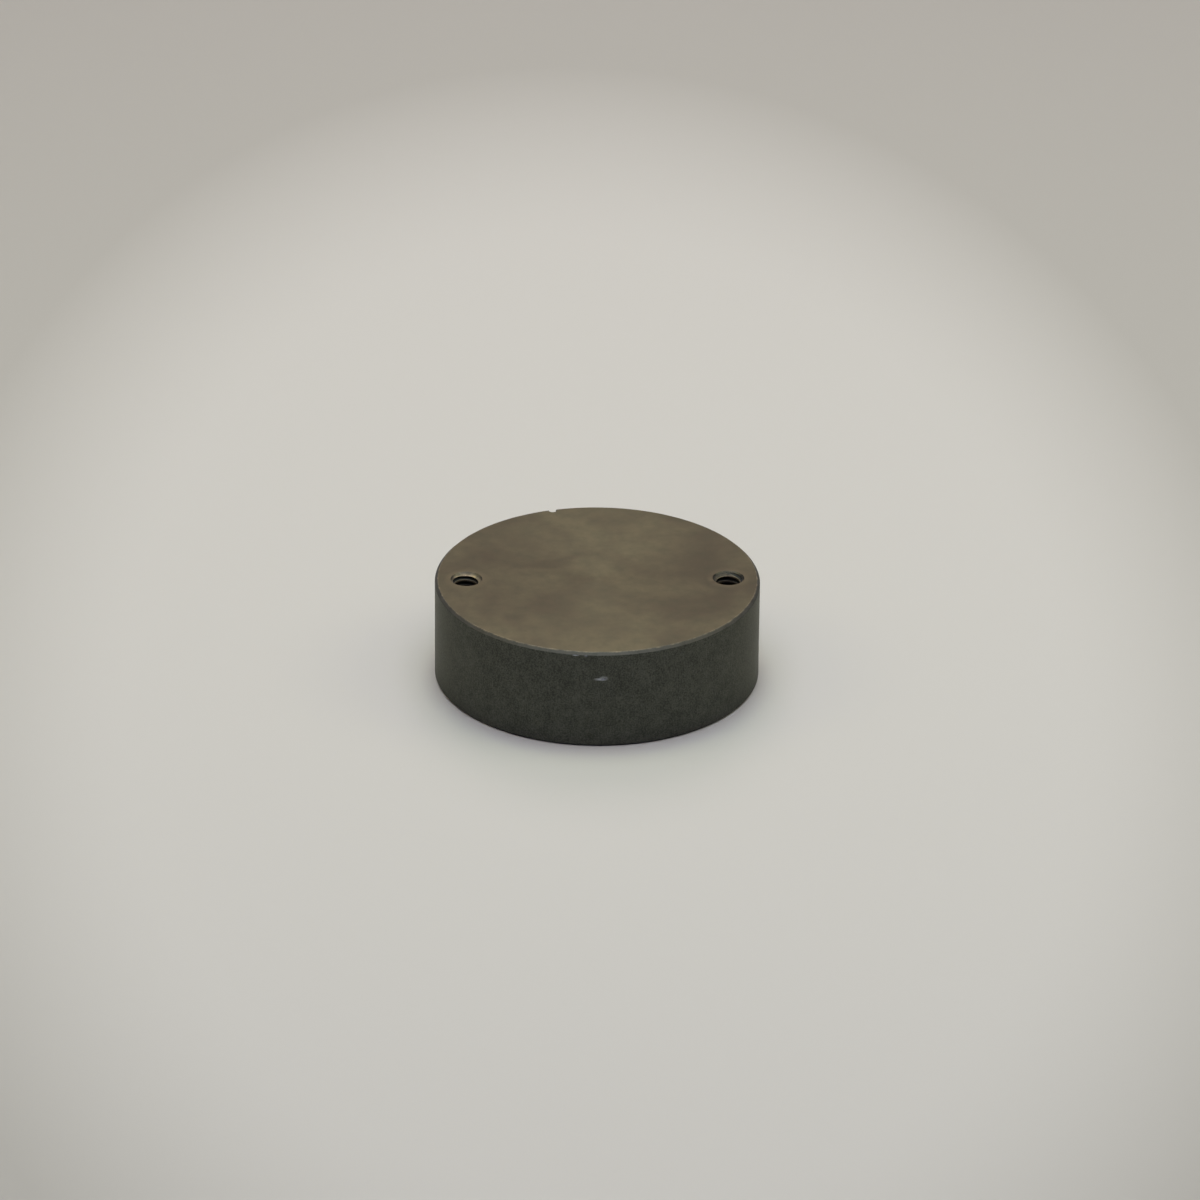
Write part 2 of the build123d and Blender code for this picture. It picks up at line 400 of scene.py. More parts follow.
class Recipe:
    """A Geometry Nodes tree with named inputs that shapes one mesh and is then dropped."""

    def __init__(self, title: str, inputs: dict[str, float | int]) -> None:
        """Start a tree.

        Args:
            title: Name of the tree.
            inputs: Value of each named input. Whole numbers make whole-number inputs.
        """
        self.inputs = inputs
        self.tree = bpy.data.node_groups.new(title, "GeometryNodeTree")
        face = self.tree.interface
        face.new_socket("Geometry", in_out="INPUT", socket_type="NodeSocketGeometry")
        for name, value in inputs.items():
            face.new_socket(
                name, in_out="INPUT", socket_type="NodeSocketInt" if isinstance(value, int) else "NodeSocketFloat"
            )
        face.new_socket("Geometry", in_out="OUTPUT", socket_type="NodeSocketGeometry")
        self.entry = self.tree.nodes.new("NodeGroupInput")

    def given(self, name: str) -> Socket:
        """Give the socket that carries one input."""
        return self.entry.outputs[name]

    def shape(self, piece: Piece, result: Socket, finish: "Finish") -> Piece:
        """Run the tree on a piece and keep only the mesh that it makes.

        Args:
            piece: The piece that is shaped.
            result: Socket of the finished geometry.
            finish: Finish whose material it gets.

        Returns:
            The same piece.
        """
        real = add(self.tree, "GeometryNodeRealizeInstances", {0: result})
        coated = add(self.tree, "GeometryNodeSetMaterial", {"Geometry": real, "Material": finish.material()})
        add(self.tree, "NodeGroupOutput", {0: coated})
        modifier = piece.modifiers.new(self.tree.name, "NODES")
        modifier.node_group = self.tree
        for item in self.tree.interface.items_tree:
            if item.in_out == "INPUT" and item.name in self.inputs:
                modifier[item.identifier] = self.inputs[item.name]
        plain_copy(piece)
        return piece


def empty_piece(name: str) -> Piece:
    """Make a piece with no mesh yet, for a recipe to fill."""
    return mesh_piece(name, [], [])


@dataclass(frozen=True)
class WoundStrip:
    """Flat wire wound on edge about Z, which may step down to a second turn. Angles are in degrees."""

    radius: float
    width: float
    thickness: float
    height: float
    start: float
    sweep: float
    step_at: float = 0.0
    step_span: float = 1.0
    step_down: float = 0.0
    corner: float = 0.12
    steps: int = 360

    def build(self, name: str, finish: "Finish") -> Piece:
        """Wind the strip.

        Args:
            name: Name of the piece.
            finish: Its finish.

        Returns:
            The closed strip.
        """
        recipe = Recipe(
            name + "_winding",
            {
                "Radius": self.radius * MM, "Width": self.width * MM, "Thickness": self.thickness * MM,
                "Height": self.height * MM, "Start": math.radians(self.start), "Sweep": math.radians(self.sweep),
                "Step At": math.radians(self.step_at), "Step Span": math.radians(self.step_span),
                "Step Down": self.step_down * MM, "Corner": self.corner * MM, "Steps": self.steps,
            },
        )
        tree, given = recipe.tree, recipe.given
        line = add(tree, "GeometryNodeCurvePrimitiveLine")
        path = add(tree, "GeometryNodeResampleCurve", {"Curve": line, "Count": given("Steps")})
        along = add(tree, "GeometryNodeSplineParameter")
        angle = add(
            tree, "ShaderNodeMath",
            {0: along.outputs["Factor"], 1: given("Sweep"), 2: given("Start")},
            operation="MULTIPLY_ADD",
        )
        end = add(tree, "ShaderNodeMath", {0: given("Step At"), 1: given("Step Span")}, operation="ADD")
        fall = add(
            tree, "ShaderNodeMapRange",
            {"Value": angle, "From Min": given("Step At"), "From Max": end, "To Max": given("Step Down")},
            interpolation_type="SMOOTHSTEP",
        )
        cosine = add(tree, "ShaderNodeMath", {0: angle}, operation="COSINE")
        x = add(tree, "ShaderNodeMath", {0: cosine, 1: given("Radius")}, operation="MULTIPLY")
        sine = add(tree, "ShaderNodeMath", {0: angle}, operation="SINE")
        y = add(tree, "ShaderNodeMath", {0: sine, 1: given("Radius")}, operation="MULTIPLY")
        z = add(tree, "ShaderNodeMath", {0: given("Height"), 1: fall}, operation="SUBTRACT")
        place = add(tree, "ShaderNodeCombineXYZ", {"X": x, "Y": y, "Z": z})
        wound = add(tree, "GeometryNodeSetPosition", {"Geometry": path, "Position": place})
        upright = add(tree, "GeometryNodeSetCurveNormal", {"Curve": wound}, mode="Z_UP")
        section = add(
            tree, "GeometryNodeCurvePrimitiveQuadrilateral", {"Width": given("Width"), "Height": given("Thickness")}
        )
        rounded = add(
            tree, "GeometryNodeFilletCurve", {"Curve": section, "Count": 3, "Radius": given("Corner")}, mode="POLY"
        )
        solid = add(tree, "GeometryNodeCurveToMesh", {"Curve": upright, "Profile Curve": rounded, "Fill Caps": True})
        return recipe.shape(empty_piece(name), solid, finish)


# ---------------------------------------------------------------------------------------------------------
# Finishes
# ---------------------------------------------------------------------------------------------------------
WAVE_PERIOD = math.tau / 20  # length of one wave of Blender's wave texture at a scale of 1


@dataclass(frozen=True)
class Finish:
    """A surface, named for what it is made of and how it was made."""

    title: str

    def material(self) -> bpy.types.Material:
        """Give the material, building it the first time.

        Returns:
            The material with this finish's nodes.
        """
        found = bpy.data.materials.get(self.title)
        if found:
            return found
        made = bpy.data.materials.new(self.title)
        made.use_nodes = True
        tree = made.node_tree
        tree.nodes.clear()
        place = add(tree, "ShaderNodeTexCoord")
        scaled = add(tree, "ShaderNodeMapping", {"Vector": place.outputs["Object"], "Scale": (1 / MM,) * 3})
        shader = self.shader(tree, scaled, place.outputs["Normal"])
        add(tree, "ShaderNodeOutputMaterial", {"Surface": shader})
        return made

    def shader(self, tree: Tree, place: Feed, facing: Feed) -> Node:
        """Build the shader.

        Args:
            tree: The material's tree.
            place: Place on the piece in millimetres.
            facing: Direction that the surface faces.

        Returns:
            The shader's node.
        """
        raise NotImplementedError


class WearAndPaintedLight(NamedTuple):
    """Nodes that give, from 0 to 1, how far a place on the blackened steel is of each kind of rubbing and painted
    light.
    """

    # inside also carries the painted shade in the holes
    inside: Node  # in a tapped hole
    sunk: Node  # on its countersink
    rim: Node  # on the upper edge
    brushed: Node  # on the face, close to a hole
    # bevel carries the chamfer's painted highlight with its rubbed scale
    bevel: Node  # on the chamfer
    # the crests' share is a painted glint
    crest_glint: Node  # on the thread's first crests


@dataclass(frozen=True)
class HeatBlackenedSteel(Finish):
    """Carbon steel with a dark heat scale: brownish with slow clouds on the turned faces, greenish black on the side.

    The faces are painted paler and browner than the side, partly as painted light from above, and a paler spot near
    the middle of the top is a painted sheen. The scale is rubbed thin along the rim and in the countersinks, so those
    places are paler; the chamfer is paler from rubbed scale and a painted highlight. Painted shade makes the tapped
    holes the darkest, and a painted glint lies on their first thread crests. Lathe marks too fine to see stretch the
    sheen up and down the side.
    """

    # the faces' colours are paler and browner than the side's, partly as painted light from above on the one steel
    face_light: str = "#797459"
    face_dark: str = "#625c49"
    face_green: str = "#5f5f4d"
    side_light: str = "#5e6058"
    side_dark: str = "#3c3e39"
    # painted shade: the tapped holes are coloured darker than the side's scale
    bore: str = "#2b2c2a"
    bare: str = "#d8c6a2"
    rubbed: str = "#8d8164"
    fresh: str = "#a9adb4"
    # the chamfer's colour is paler from rubbed scale and a painted highlight
    chamfered: str = "#75736a"
    grazing: str = "#dbdbd2"
    body_radius: float = 34.925
    body_height: float = 22.225
    chamfer: float = 0.6
    hole_offset: float = 28.125
    mouth_radius: float = 3.4
    crest_radius: float = 2.55
    right_wear: float = 0.2
    # painted sheen: the top face is painted paler round this spot near its middle
    painted_sheen_spot: Corner = (4.0, 2.0, 0.0)
    cloud_size: float = 17.0
    patch_size: float = 3.2
    speck_size: float = 0.32  # grains of scale are nearer 0.05 mm: drawn coarser, so that they show
    knocked: tuple[tuple[float, float, float, float], ...] = (
        (-89.2, 16.2, 1.0, 0.6), (-90.6, 16.0, 1.3, 0.35), (-99.0, 21.55, 0.8, 0.18), (-95.4, 21.5, 0.4, 0.22),
    )

    def shader(self, tree: Tree, place: Feed, facing: Feed) -> Node:
        """Build the shader from the face's scale with its painted light and sheen, the side's scale, the bores'
        painted shade, the bare metal, the chamfer's painted highlight and the crests' painted glint.
        """
        flat = add(tree, "ShaderNodeVectorMath", {0: place, 1: (1, 1, 0)}, operation="MULTIPLY")
        height = add(tree, "ShaderNodeSeparateXYZ", {0: place}).outputs["Z"]
        lies = add(tree, "ShaderNodeSeparateXYZ", {0: facing}).outputs["Z"]
        upward = add(tree, "ShaderNodeMath", {0: lies}, operation="ABSOLUTE")
        on_face = add(
            tree, "ShaderNodeMapRange",
            {"Value": upward, "From Min": 0.8, "From Max": 0.95},
            interpolation_type="SMOOTHSTEP",
        )

        # slow clouds, and patches with a greener cast, keep the face from looking like one paint
        cloud = add(
            tree, "ShaderNodeTexNoise",
            {"Vector": place, "Scale": 1 / self.cloud_size, "Detail": 2.5, "Roughness": 0.5, "Distortion": 0.7},
        )
        patch = add(
            tree, "ShaderNodeTexNoise",
            {"Vector": place, "Scale": 1 / self.patch_size, "Detail": 6.0, "Roughness": 0.62},
        )
        speck = add(
            tree, "ShaderNodeTexNoise",
            {"Vector": place, "Scale": 1 / self.speck_size, "Detail": 2.0, "Roughness": 0.5},
        )
        # painted sheen: paler round a spot near the middle of the top face
        middle = add(tree, "ShaderNodeVectorMath", {0: flat, 1: self.painted_sheen_spot}, operation="DISTANCE")
        paler = add(
            tree, "ShaderNodeMapRange",
            {"Value": middle, "From Min": 4, "From Max": 20, "To Min": 0.35, "To Max": 0.0},
        )
        clouds = add(
            tree, "ShaderNodeMapRange",
            {"Value": cloud, "From Min": 0.36, "From Max": 0.64, "To Min": 0.0, "To Max": 0.7},
        )
        clouds_and_sheen = add(tree, "ShaderNodeMath", {0: clouds, 1: paler}, operation="ADD")
        face = add(
            tree, "ShaderNodeMix",
            {0: clouds_and_sheen, 6: linear(self.face_dark), 7: linear(self.face_light)},
            data_type="RGBA",
        )
        green = add(
            tree, "ShaderNodeMapRange",
            {"Value": patch, "From Min": 0.4, "From Max": 0.7, "To Min": 0.0, "To Max": 0.5},
        )
        face = add(tree, "ShaderNodeMix", {0: green, 6: face, 7: linear(self.face_green)}, data_type="RGBA")

        # faint upright streaks and fine specks on the side
        upright = add(tree, "ShaderNodeMapping", {"Vector": place, "Scale": (1, 1, 0.2)})
        streak = add(
            tree, "ShaderNodeTexNoise", {"Vector": upright, "Scale": 1 / 0.36, "Detail": 3.0, "Roughness": 0.6}
        )
        grained = add(tree, "ShaderNodeMath", {0: streak, 1: 0.35, 2: speck}, operation="MULTIPLY_ADD")
        grained = add(tree, "ShaderNodeMath", {0: patch, 1: 0.65, 2: grained}, operation="MULTIPLY_ADD")
        grain = add(tree, "ShaderNodeMapRange", {"Value": grained, "From Min": 0.8, "From Max": 1.2})
        side = add(
            tree, "ShaderNodeMix", {0: grain, 6: linear(self.side_dark), 7: linear(self.side_light)}, data_type="RGBA"
        )
        # the face's colours carry painted light from above as well as their own tone: paler and browner than the
        # side's
        scale = add(tree, "ShaderNodeMix", {0: on_face, 6: side, 7: face}, data_type="RGBA")

        wear_and_light = self.wear_and_light_places(tree, place, flat, height)
        # painted highlight with rubbed scale: the chamfer is laid paler
        patchy = add(
            tree, "ShaderNodeMapRange",
            {"Value": patch, "From Min": 0.3, "From Max": 0.7, "To Min": 0.5, "To Max": 1.0},
        )
        uneven = add(tree, "ShaderNodeMath", {0: wear_and_light.bevel, 1: patchy}, operation="MULTIPLY")
        scale = add(tree, "ShaderNodeMix", {0: uneven, 6: scale, 7: linear(self.chamfered)}, data_type="RGBA")
        mottle = add(tree, "ShaderNodeMapRange", {"Value": patch, "From Min": 0.35, "From Max": 0.65})
        halo = add(tree, "ShaderNodeMath", {0: wear_and_light.brushed, 1: mottle}, operation="MULTIPLY")
        scale = add(tree, "ShaderNodeMix", {0: halo, 6: scale, 7: linear(self.rubbed)}, data_type="RGBA")
        # painted shade: the tapped holes are laid darker than the scale
        scale = add(tree, "ShaderNodeMix", {0: wear_and_light.inside, 6: scale, 7: linear(self.bore)}, data_type="RGBA")
        rubs = add(tree, "ShaderNodeTexNoise", {"Vector": place, "Scale": 1 / 1.4, "Detail": 4.0, "Roughness": 0.65})
        spots = add(
            tree, "ShaderNodeMapRange",
            {"Value": rubs, "From Min": 0.38, "From Max": 0.62, "To Min": 0.4, "To Max": 1.0},
        )
        cone = add(tree, "ShaderNodeMath", {0: wear_and_light.sunk, 1: spots}, operation="MULTIPLY")
        flecks = add(
            tree, "ShaderNodeMapRange",
            {"Value": rubs, "From Min": 0.4, "From Max": 0.7, "To Min": 0.0, "To Max": 0.3},
        )
        edge = add(tree, "ShaderNodeMath", {0: wear_and_light.rim, 1: flecks}, operation="MULTIPLY")
        pale_marks = add(tree, "ShaderNodeMath", {0: cone, 1: edge}, operation="MAXIMUM")
        # painted glint on the first thread crests, laid in the bare metal's colour
        pale_marks = add(tree, "ShaderNodeMath", {0: pale_marks, 1: wear_and_light.crest_glint}, operation="MAXIMUM")
        colour = add(tree, "ShaderNodeMix", {0: pale_marks, 6: scale, 7: linear(self.bare)}, data_type="RGBA")
        for knock in self.knocked:
            struck = self.struck(tree, place, *knock)
            colour = add(tree, "ShaderNodeMix", {0: struck, 6: colour, 7: linear(self.fresh)}, data_type="RGBA")
            pale_marks = add(tree, "ShaderNodeMath", {0: pale_marks, 1: struck}, operation="MAXIMUM")

        # the sheen is uneven where the scale is thicker, and tighter where it is rubbed
        rough = add(
            tree, "ShaderNodeMapRange",
            {"Value": patch, "From Min": 0.3, "From Max": 0.7, "To Min": 0.4, "To Max": 0.5},
        )
        smooth = add(tree, "ShaderNodeMath", {0: pale_marks, 1: -0.14, 2: rough}, operation="MULTIPLY_ADD")
        shaded_bore = add(tree, "ShaderNodeMath", {0: wear_and_light.inside, 1: pale_marks}, operation="SUBTRACT", use_clamp=True)
        blunt = add(tree, "ShaderNodeMath", {0: shaded_bore, 1: wear_and_light.bevel}, operation="MAXIMUM")
        smooth = add(tree, "ShaderNodeMath", {0: blunt, 1: 0.2, 2: smooth}, operation="MULTIPLY_ADD")
        metal = add(
            tree, "ShaderNodeMapRange", {"Value": shaded_bore, "From Min": 0, "From Max": 1, "To Min": 0.8, "To Max": 0.1}
        )
        tooth = add(tree, "ShaderNodeMath", {0: speck, 1: streak}, operation="ADD")
        bump = add(tree, "ShaderNodeBump", {"Strength": 0.6, "Distance": 0.012 * MM, "Height": tooth})
        stretch = add(tree, "ShaderNodeMapRange", {"Value": on_face, "To Min": 0.6, "To Max": 0.25})
        tangent = add(tree, "ShaderNodeTangent", direction_type="RADIAL", axis="Z")
        shader = add(
            tree, "ShaderNodeBsdfPrincipled",
            {
                "Base Color": colour, "Metallic": metal, "Roughness": smooth, "Anisotropic": stretch,
                "Anisotropic Rotation": 0.25, "Tangent": tangent, "Normal": bump,
                "Specular Tint": linear(self.grazing),
            },
        )
        return shader

    def struck(
        self, tree: Tree, place: Feed, turn_deg: float, height: float, wide: float, tall: float
    ) -> Node:
        """Find one place on the side where a knock has bared the metal.

        Args:
            tree: The material's tree.
            place: Place on the piece in millimetres.
            turn_deg: Where it is round the side.
            height: Height of its middle.
            wide: Half its width.
            tall: Half its height.

        Returns:
            Share from 0 to 1.
        """
        turn = math.radians(turn_deg)
        middle = (self.body_radius * math.cos(turn), self.body_radius * math.sin(turn), height)
        off = add(tree, "ShaderNodeVectorMath", {0: place, 1: middle}, operation="SUBTRACT")
        share = add(tree, "ShaderNodeVectorMath", {0: off, 1: (1 / wide, 1 / wide, 1 / tall)}, operation="MULTIPLY")
        away = add(tree, "ShaderNodeVectorMath", {0: share}, operation="LENGTH")
        return add(
            tree, "ShaderNodeMapRange",
            {"Value": away, "From Min": 0.2, "From Max": 1.1, "To Min": 0.8, "To Max": 0.0},
        )

    def wear_and_light_places(self, tree: Tree, place: Feed, flat: Feed, height: Feed) -> WearAndPaintedLight:
        """Find the bores' painted shade, the countersinks, the rim, the rubbed ring round each hole, the chamfer's
        painted highlight and the crests' painted glint.

        Args:
            tree: The material's tree.
            place: Place on the piece in millimetres.
            flat: The same without its height.
            height: Height above the mounting face.

        Returns:
            The share of each kind of mark: rubbed metal, painted shade, painted highlight and painted glint.
        """
        radius = add(tree, "ShaderNodeVectorMath", {0: flat}, operation="LENGTH")
        at_rim = add(
            tree, "ShaderNodeMath", {0: radius, 1: self.body_radius - self.chamfer, 2: 0.16}, operation="COMPARE"
        )
        at_top = add(tree, "ShaderNodeMath", {0: height, 1: self.body_height, 2: 0.14}, operation="COMPARE")
        rim = add(tree, "ShaderNodeMath", {0: at_rim, 1: at_top}, operation="MULTIPLY")

        mirrored = add(tree, "ShaderNodeVectorMath", {0: flat}, operation="ABSOLUTE")
        from_hole = add(
            tree, "ShaderNodeVectorMath", {0: mirrored, 1: (self.hole_offset, 0, 0)}, operation="DISTANCE"
        )
        # painted shade: the bores of the tapped holes
        inside = add(tree, "ShaderNodeMath", {0: from_hole, 1: self.mouth_radius - 0.25}, operation="LESS_THAN")
        below = add(tree, "ShaderNodeMath", {0: self.body_height, 1: height}, operation="SUBTRACT")
        depth = add(tree, "ShaderNodeMath", {0: below, 1: height}, operation="MINIMUM")
        slant = add(tree, "ShaderNodeMath", {0: from_hole, 1: depth}, operation="ADD")
        on_cone = add(tree, "ShaderNodeMath", {0: slant, 1: self.mouth_radius, 2: 0.06}, operation="COMPARE")
        deeper = add(
            tree, "ShaderNodeMapRange",
            {"Value": depth, "From Min": 0.15, "From Max": 0.6, "To Min": 0.1, "To Max": 0.9},
        )
        along = add(tree, "ShaderNodeSeparateXYZ", {0: flat}).outputs["X"]
        side = add(
            tree, "ShaderNodeMapRange",
            {"Value": along, "From Min": -1, "From Max": 1, "To Min": 1.0, "To Max": self.right_wear},
        )
        pale_marks = add(tree, "ShaderNodeMath", {0: deeper, 1: side}, operation="MULTIPLY")
        sunk = add(tree, "ShaderNodeMath", {0: on_cone, 1: pale_marks}, operation="MULTIPLY")
        brushed = add(
            tree, "ShaderNodeMapRange",
            {
                "Value": from_hole, "From Min": self.mouth_radius + 0.2, "From Max": self.mouth_radius + 1.5,
                "To Min": 0.5, "To Max": 0.0,
            },
        )
        # the chamfer, laid paler as rubbed scale with a painted highlight
        beyond = add(tree, "ShaderNodeMath", {0: radius, 1: below}, operation="SUBTRACT")
        slope = add(
            tree, "ShaderNodeMath", {0: beyond, 1: self.body_radius - self.chamfer - 0.06}, operation="GREATER_THAN"
        )
        shallow = add(
            tree, "ShaderNodeMapRange",
            {
                "Value": below, "From Min": self.chamfer - 0.08, "From Max": self.chamfer + 0.02, "To Min": 1.0,
                "To Max": 0.0,
            },
        )
        bevel = add(tree, "ShaderNodeMath", {0: slope, 1: shallow}, operation="MULTIPLY")
        # painted glint: the first thread crests
        tip = add(tree, "ShaderNodeMath", {0: from_hole, 1: self.crest_radius, 2: 0.07}, operation="COMPARE")
        first_turns = add(
            tree, "ShaderNodeMapRange",
            {"Value": depth, "From Min": 1.0, "From Max": 3.0, "To Min": 0.4, "To Max": 0.0},
        )
        crest_glint = add(tree, "ShaderNodeMath", {0: tip, 1: first_turns}, operation="MULTIPLY")
        return WearAndPaintedLight(inside, sunk, rim, brushed, bevel, crest_glint)


@dataclass(frozen=True)
class TurnedSteel(Finish):
    """Steel cut on a lathe: bright, with fine rings about its axis that break the sheen into bands."""

    colour: str = "#bdb8ae"
    shade: str = "#9d988e"
    roughness: float = 0.3
    ring_pitch: float = 0.35  # a fine cut feeds about 0.1 mm a turn: drawn coarser, so that it shows
    ring_depth: float = 0.004

    def shader(self, tree: Tree, place: Feed, facing: Feed) -> Node:
        """Build the shader from rings, a soft tarnish and small scuffs."""
        rings = add(
            tree, "ShaderNodeTexWave",
            {"Vector": place, "Scale": WAVE_PERIOD / self.ring_pitch, "Distortion": 0.4, "Detail": 2.0},
            wave_type="RINGS", rings_direction="Z",
        )
        tarnish = add(tree, "ShaderNodeTexNoise", {"Vector": place, "Scale": 1 / 5.0, "Detail": 5.0})
        colour = add(
            tree, "ShaderNodeMix", {0: tarnish, 6: linear(self.colour), 7: linear(self.shade)}, data_type="RGBA"
        )
        rough = add(
            tree, "ShaderNodeMapRange",
            {
                "Value": tarnish, "From Min": 0.3, "From Max": 0.7, "To Min": self.roughness - 0.06,
                "To Max": self.roughness + 0.08,
            },
        )
        bump = add(
            tree, "ShaderNodeBump",
            {"Strength": 0.6, "Distance": self.ring_depth * MM, "Height": rings.outputs["Fac"]},
        )
        shader = add(
            tree, "ShaderNodeBsdfPrincipled",
            {"Base Color": colour, "Metallic": 1.0, "Roughness": rough, "Normal": bump},
        )
        return shader


@dataclass(frozen=True)
class RolledSheet(Finish):
    """Thin rolled metal: straight fine lines along X from the rolls, and a soft, slightly uneven sheen."""

    colour: str = "#c9c5bd"
    shade: str = "#aaa69c"
    roughness: float = 0.26
    line_width: float = 0.12  # marks of the rolls are finer: drawn coarser, so that they show
    depth: float = 0.003

    def shader(self, tree: Tree, place: Feed, facing: Feed) -> Node:
        """Build the shader from the rolls' lines and a faint heat tint."""
        drawn = add(tree, "ShaderNodeMapping", {"Vector": place, "Scale": (0.03, 1, 1)})
        lines = add(tree, "ShaderNodeTexNoise", {"Vector": drawn, "Scale": 1 / self.line_width, "Detail": 3.0})
        tint = add(tree, "ShaderNodeTexNoise", {"Vector": place, "Scale": 1 / 6.0, "Detail": 3.0})
        colour = add(
            tree, "ShaderNodeMix", {0: tint, 6: linear(self.colour), 7: linear(self.shade)}, data_type="RGBA"
        )
        rough = add(
            tree, "ShaderNodeMapRange",
            {
                "Value": lines, "From Min": 0.3, "From Max": 0.7, "To Min": self.roughness - 0.05,
                "To Max": self.roughness + 0.1,
            },
        )
        bump = add(tree, "ShaderNodeBump", {"Strength": 0.5, "Distance": self.depth * MM, "Height": lines})
        shader = add(
            tree, "ShaderNodeBsdfPrincipled",
            {"Base Color": colour, "Metallic": 1.0, "Roughness": rough, "Normal": bump},
        )
        return shader


@dataclass(frozen=True)
class WeldBead(Finish):
    """Laser weld in thin stainless sheet: bright, with straw and blue heat tints that drift along the seam."""

    colour: str = "#b9b1a2"
    straw: str = "#a88753"
    blue: str = "#566079"
    roughness: float = 0.24

    def shader(self, tree: Tree, place: Feed, facing: Feed) -> Node:
        """Build the shader from two heat tints over bright metal."""
        drift = add(tree, "ShaderNodeTexNoise", {"Vector": place, "Scale": 1 / 3.0, "Detail": 3.0})
        straw = add(tree, "ShaderNodeMapRange", {"Value": drift, "From Min": 0.4, "From Max": 0.55})
        blue = add(tree, "ShaderNodeMapRange", {"Value": drift, "From Min": 0.56, "From Max": 0.68})
        warm = add(tree, "ShaderNodeMix", {0: straw, 6: linear(self.colour), 7: linear(self.straw)}, data_type="RGBA")
        tinted = add(tree, "ShaderNodeMix", {0: blue, 6: warm, 7: linear(self.blue)}, data_type="RGBA")
        shader = add(
            tree, "ShaderNodeBsdfPrincipled", {"Base Color": tinted, "Metallic": 1.0, "Roughness": self.roughness}
        )
        return shader


@dataclass(frozen=True)
class GraphiteFoil(Finish):
    """Pressed graphite foil: dull grey-black with flat silvery flakes."""

    colour: str = "#2b2b2d"
    flake: str = "#55565a"
    flake_size: float = 0.5

    def shader(self, tree: Tree, place: Feed, facing: Feed) -> Node:
        """Build the shader from pressed flakes."""
        flakes = add(tree, "ShaderNodeTexVoronoi", {"Vector": place, "Scale": 1 / self.flake_size, "Randomness": 1.0})
        cells = add(tree, "ShaderNodeSeparateColor", {0: flakes.outputs["Color"]})
        share = add(tree, "ShaderNodeMapRange", {"Value": cells, "From Min": 0.55, "From Max": 1.0})
        colour = add(
            tree, "ShaderNodeMix", {0: share, 6: linear(self.colour), 7: linear(self.flake)}, data_type="RGBA"
        )
        rough = add(tree, "ShaderNodeMapRange", {"Value": share, "To Min": 0.62, "To Max": 0.4})
        bump = add(tree, "ShaderNodeBump", {"Strength": 0.5, "Distance": 0.01 * MM, "Height": cells.outputs[1]})
        shader = add(
            tree, "ShaderNodeBsdfPrincipled",
            {"Base Color": colour, "Metallic": 0.25, "Roughness": rough, "Normal": bump},
        )
        return shader


@dataclass(frozen=True)
class PaleSheet(Finish):
    """Matt white card that the trap stands on: warm, with a faint tooth, and greyed towards its corners by painted
    shade, where the pool of light ends.
    """

    colour: str = "#e3dfd6"
    # painted shade: the card's colour towards its corners
    falloff_shade: str = "#c8c4ba"

    def shader(self, tree: Tree, place: Feed, facing: Feed) -> Node:
        """Build the shader from the card's colour, greyed towards its corners by painted shade, and the card's tooth.
        """
        tooth = add(tree, "ShaderNodeTexNoise", {"Vector": place, "Scale": 1 / 0.6, "Detail": 3.0})
        bump = add(tree, "ShaderNodeBump", {"Strength": 0.2, "Distance": 0.02 * MM, "Height": tooth})
        # painted shade: the card greys away from its middle, where the pool of light ends
        narrow = add(tree, "ShaderNodeVectorMath", {0: place, 1: (1, 0.455, 0)}, operation="MULTIPLY")
        out = add(tree, "ShaderNodeVectorMath", {0: narrow}, operation="LENGTH")
        edge = add(
            tree, "ShaderNodeMapRange", {"Value": out, "From Min": 100, "From Max": 150, "To Min": 0.0, "To Max": 1.0}
        )
        soft = add(tree, "ShaderNodeMath", {0: edge, 1: 1.6}, operation="POWER")
        colour = add(
            tree, "ShaderNodeMix", {0: soft, 6: linear(self.colour), 7: linear(self.falloff_shade)}, data_type="RGBA"
        )
        shader = add(tree, "ShaderNodeBsdfPrincipled", {"Base Color": colour, "Roughness": 0.75, "Normal": bump})
        return shader


BLACKENED = HeatBlackenedSteel("heat_blackened_steel")
TURNED = TurnedSteel("turned_stainless")
GROUND = TurnedSteel("ground_hard_stainless", "#a9a9ab", "#8f9094", 0.2, 0.18, 0.002)
SPRING = RolledSheet("tempered_spring_steel", "#8d8375", "#6f675c", 0.34)
SHEET = RolledSheet("pressed_stainless_sheet")
FOIL = RolledSheet("rolled_nickel_alloy_foil", "#c4bca8", "#a69e8a", 0.2, 0.08, 0.002)
COPPER = RolledSheet("annealed_copper", "#c07a58", "#9c5f45", 0.42)
GRAPHITE = GraphiteFoil("graphite_foil")
WELD = WeldBead("laser_weld")
CARD = PaleSheet("matt_white_card")


class Slot(Enum):
    """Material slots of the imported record, with the finish that dresses each."""

    BLACKENED_STEEL = ("blackened_steel", BLACKENED)
    MACHINED_STAINLESS = ("machined_stainless", TURNED)
    HARDENED_STAINLESS = ("hardened_stainless", GROUND)
    SPRING_STEEL = ("spring_steel", SPRING)
    STAINLESS_SHEET = ("stainless_sheet", SHEET)
    DIAPHRAGM_ALLOY = ("diaphragm_alloy", FOIL)
    GRAPHITE = ("graphite", GRAPHITE)
    COPPER = ("copper", COPPER)


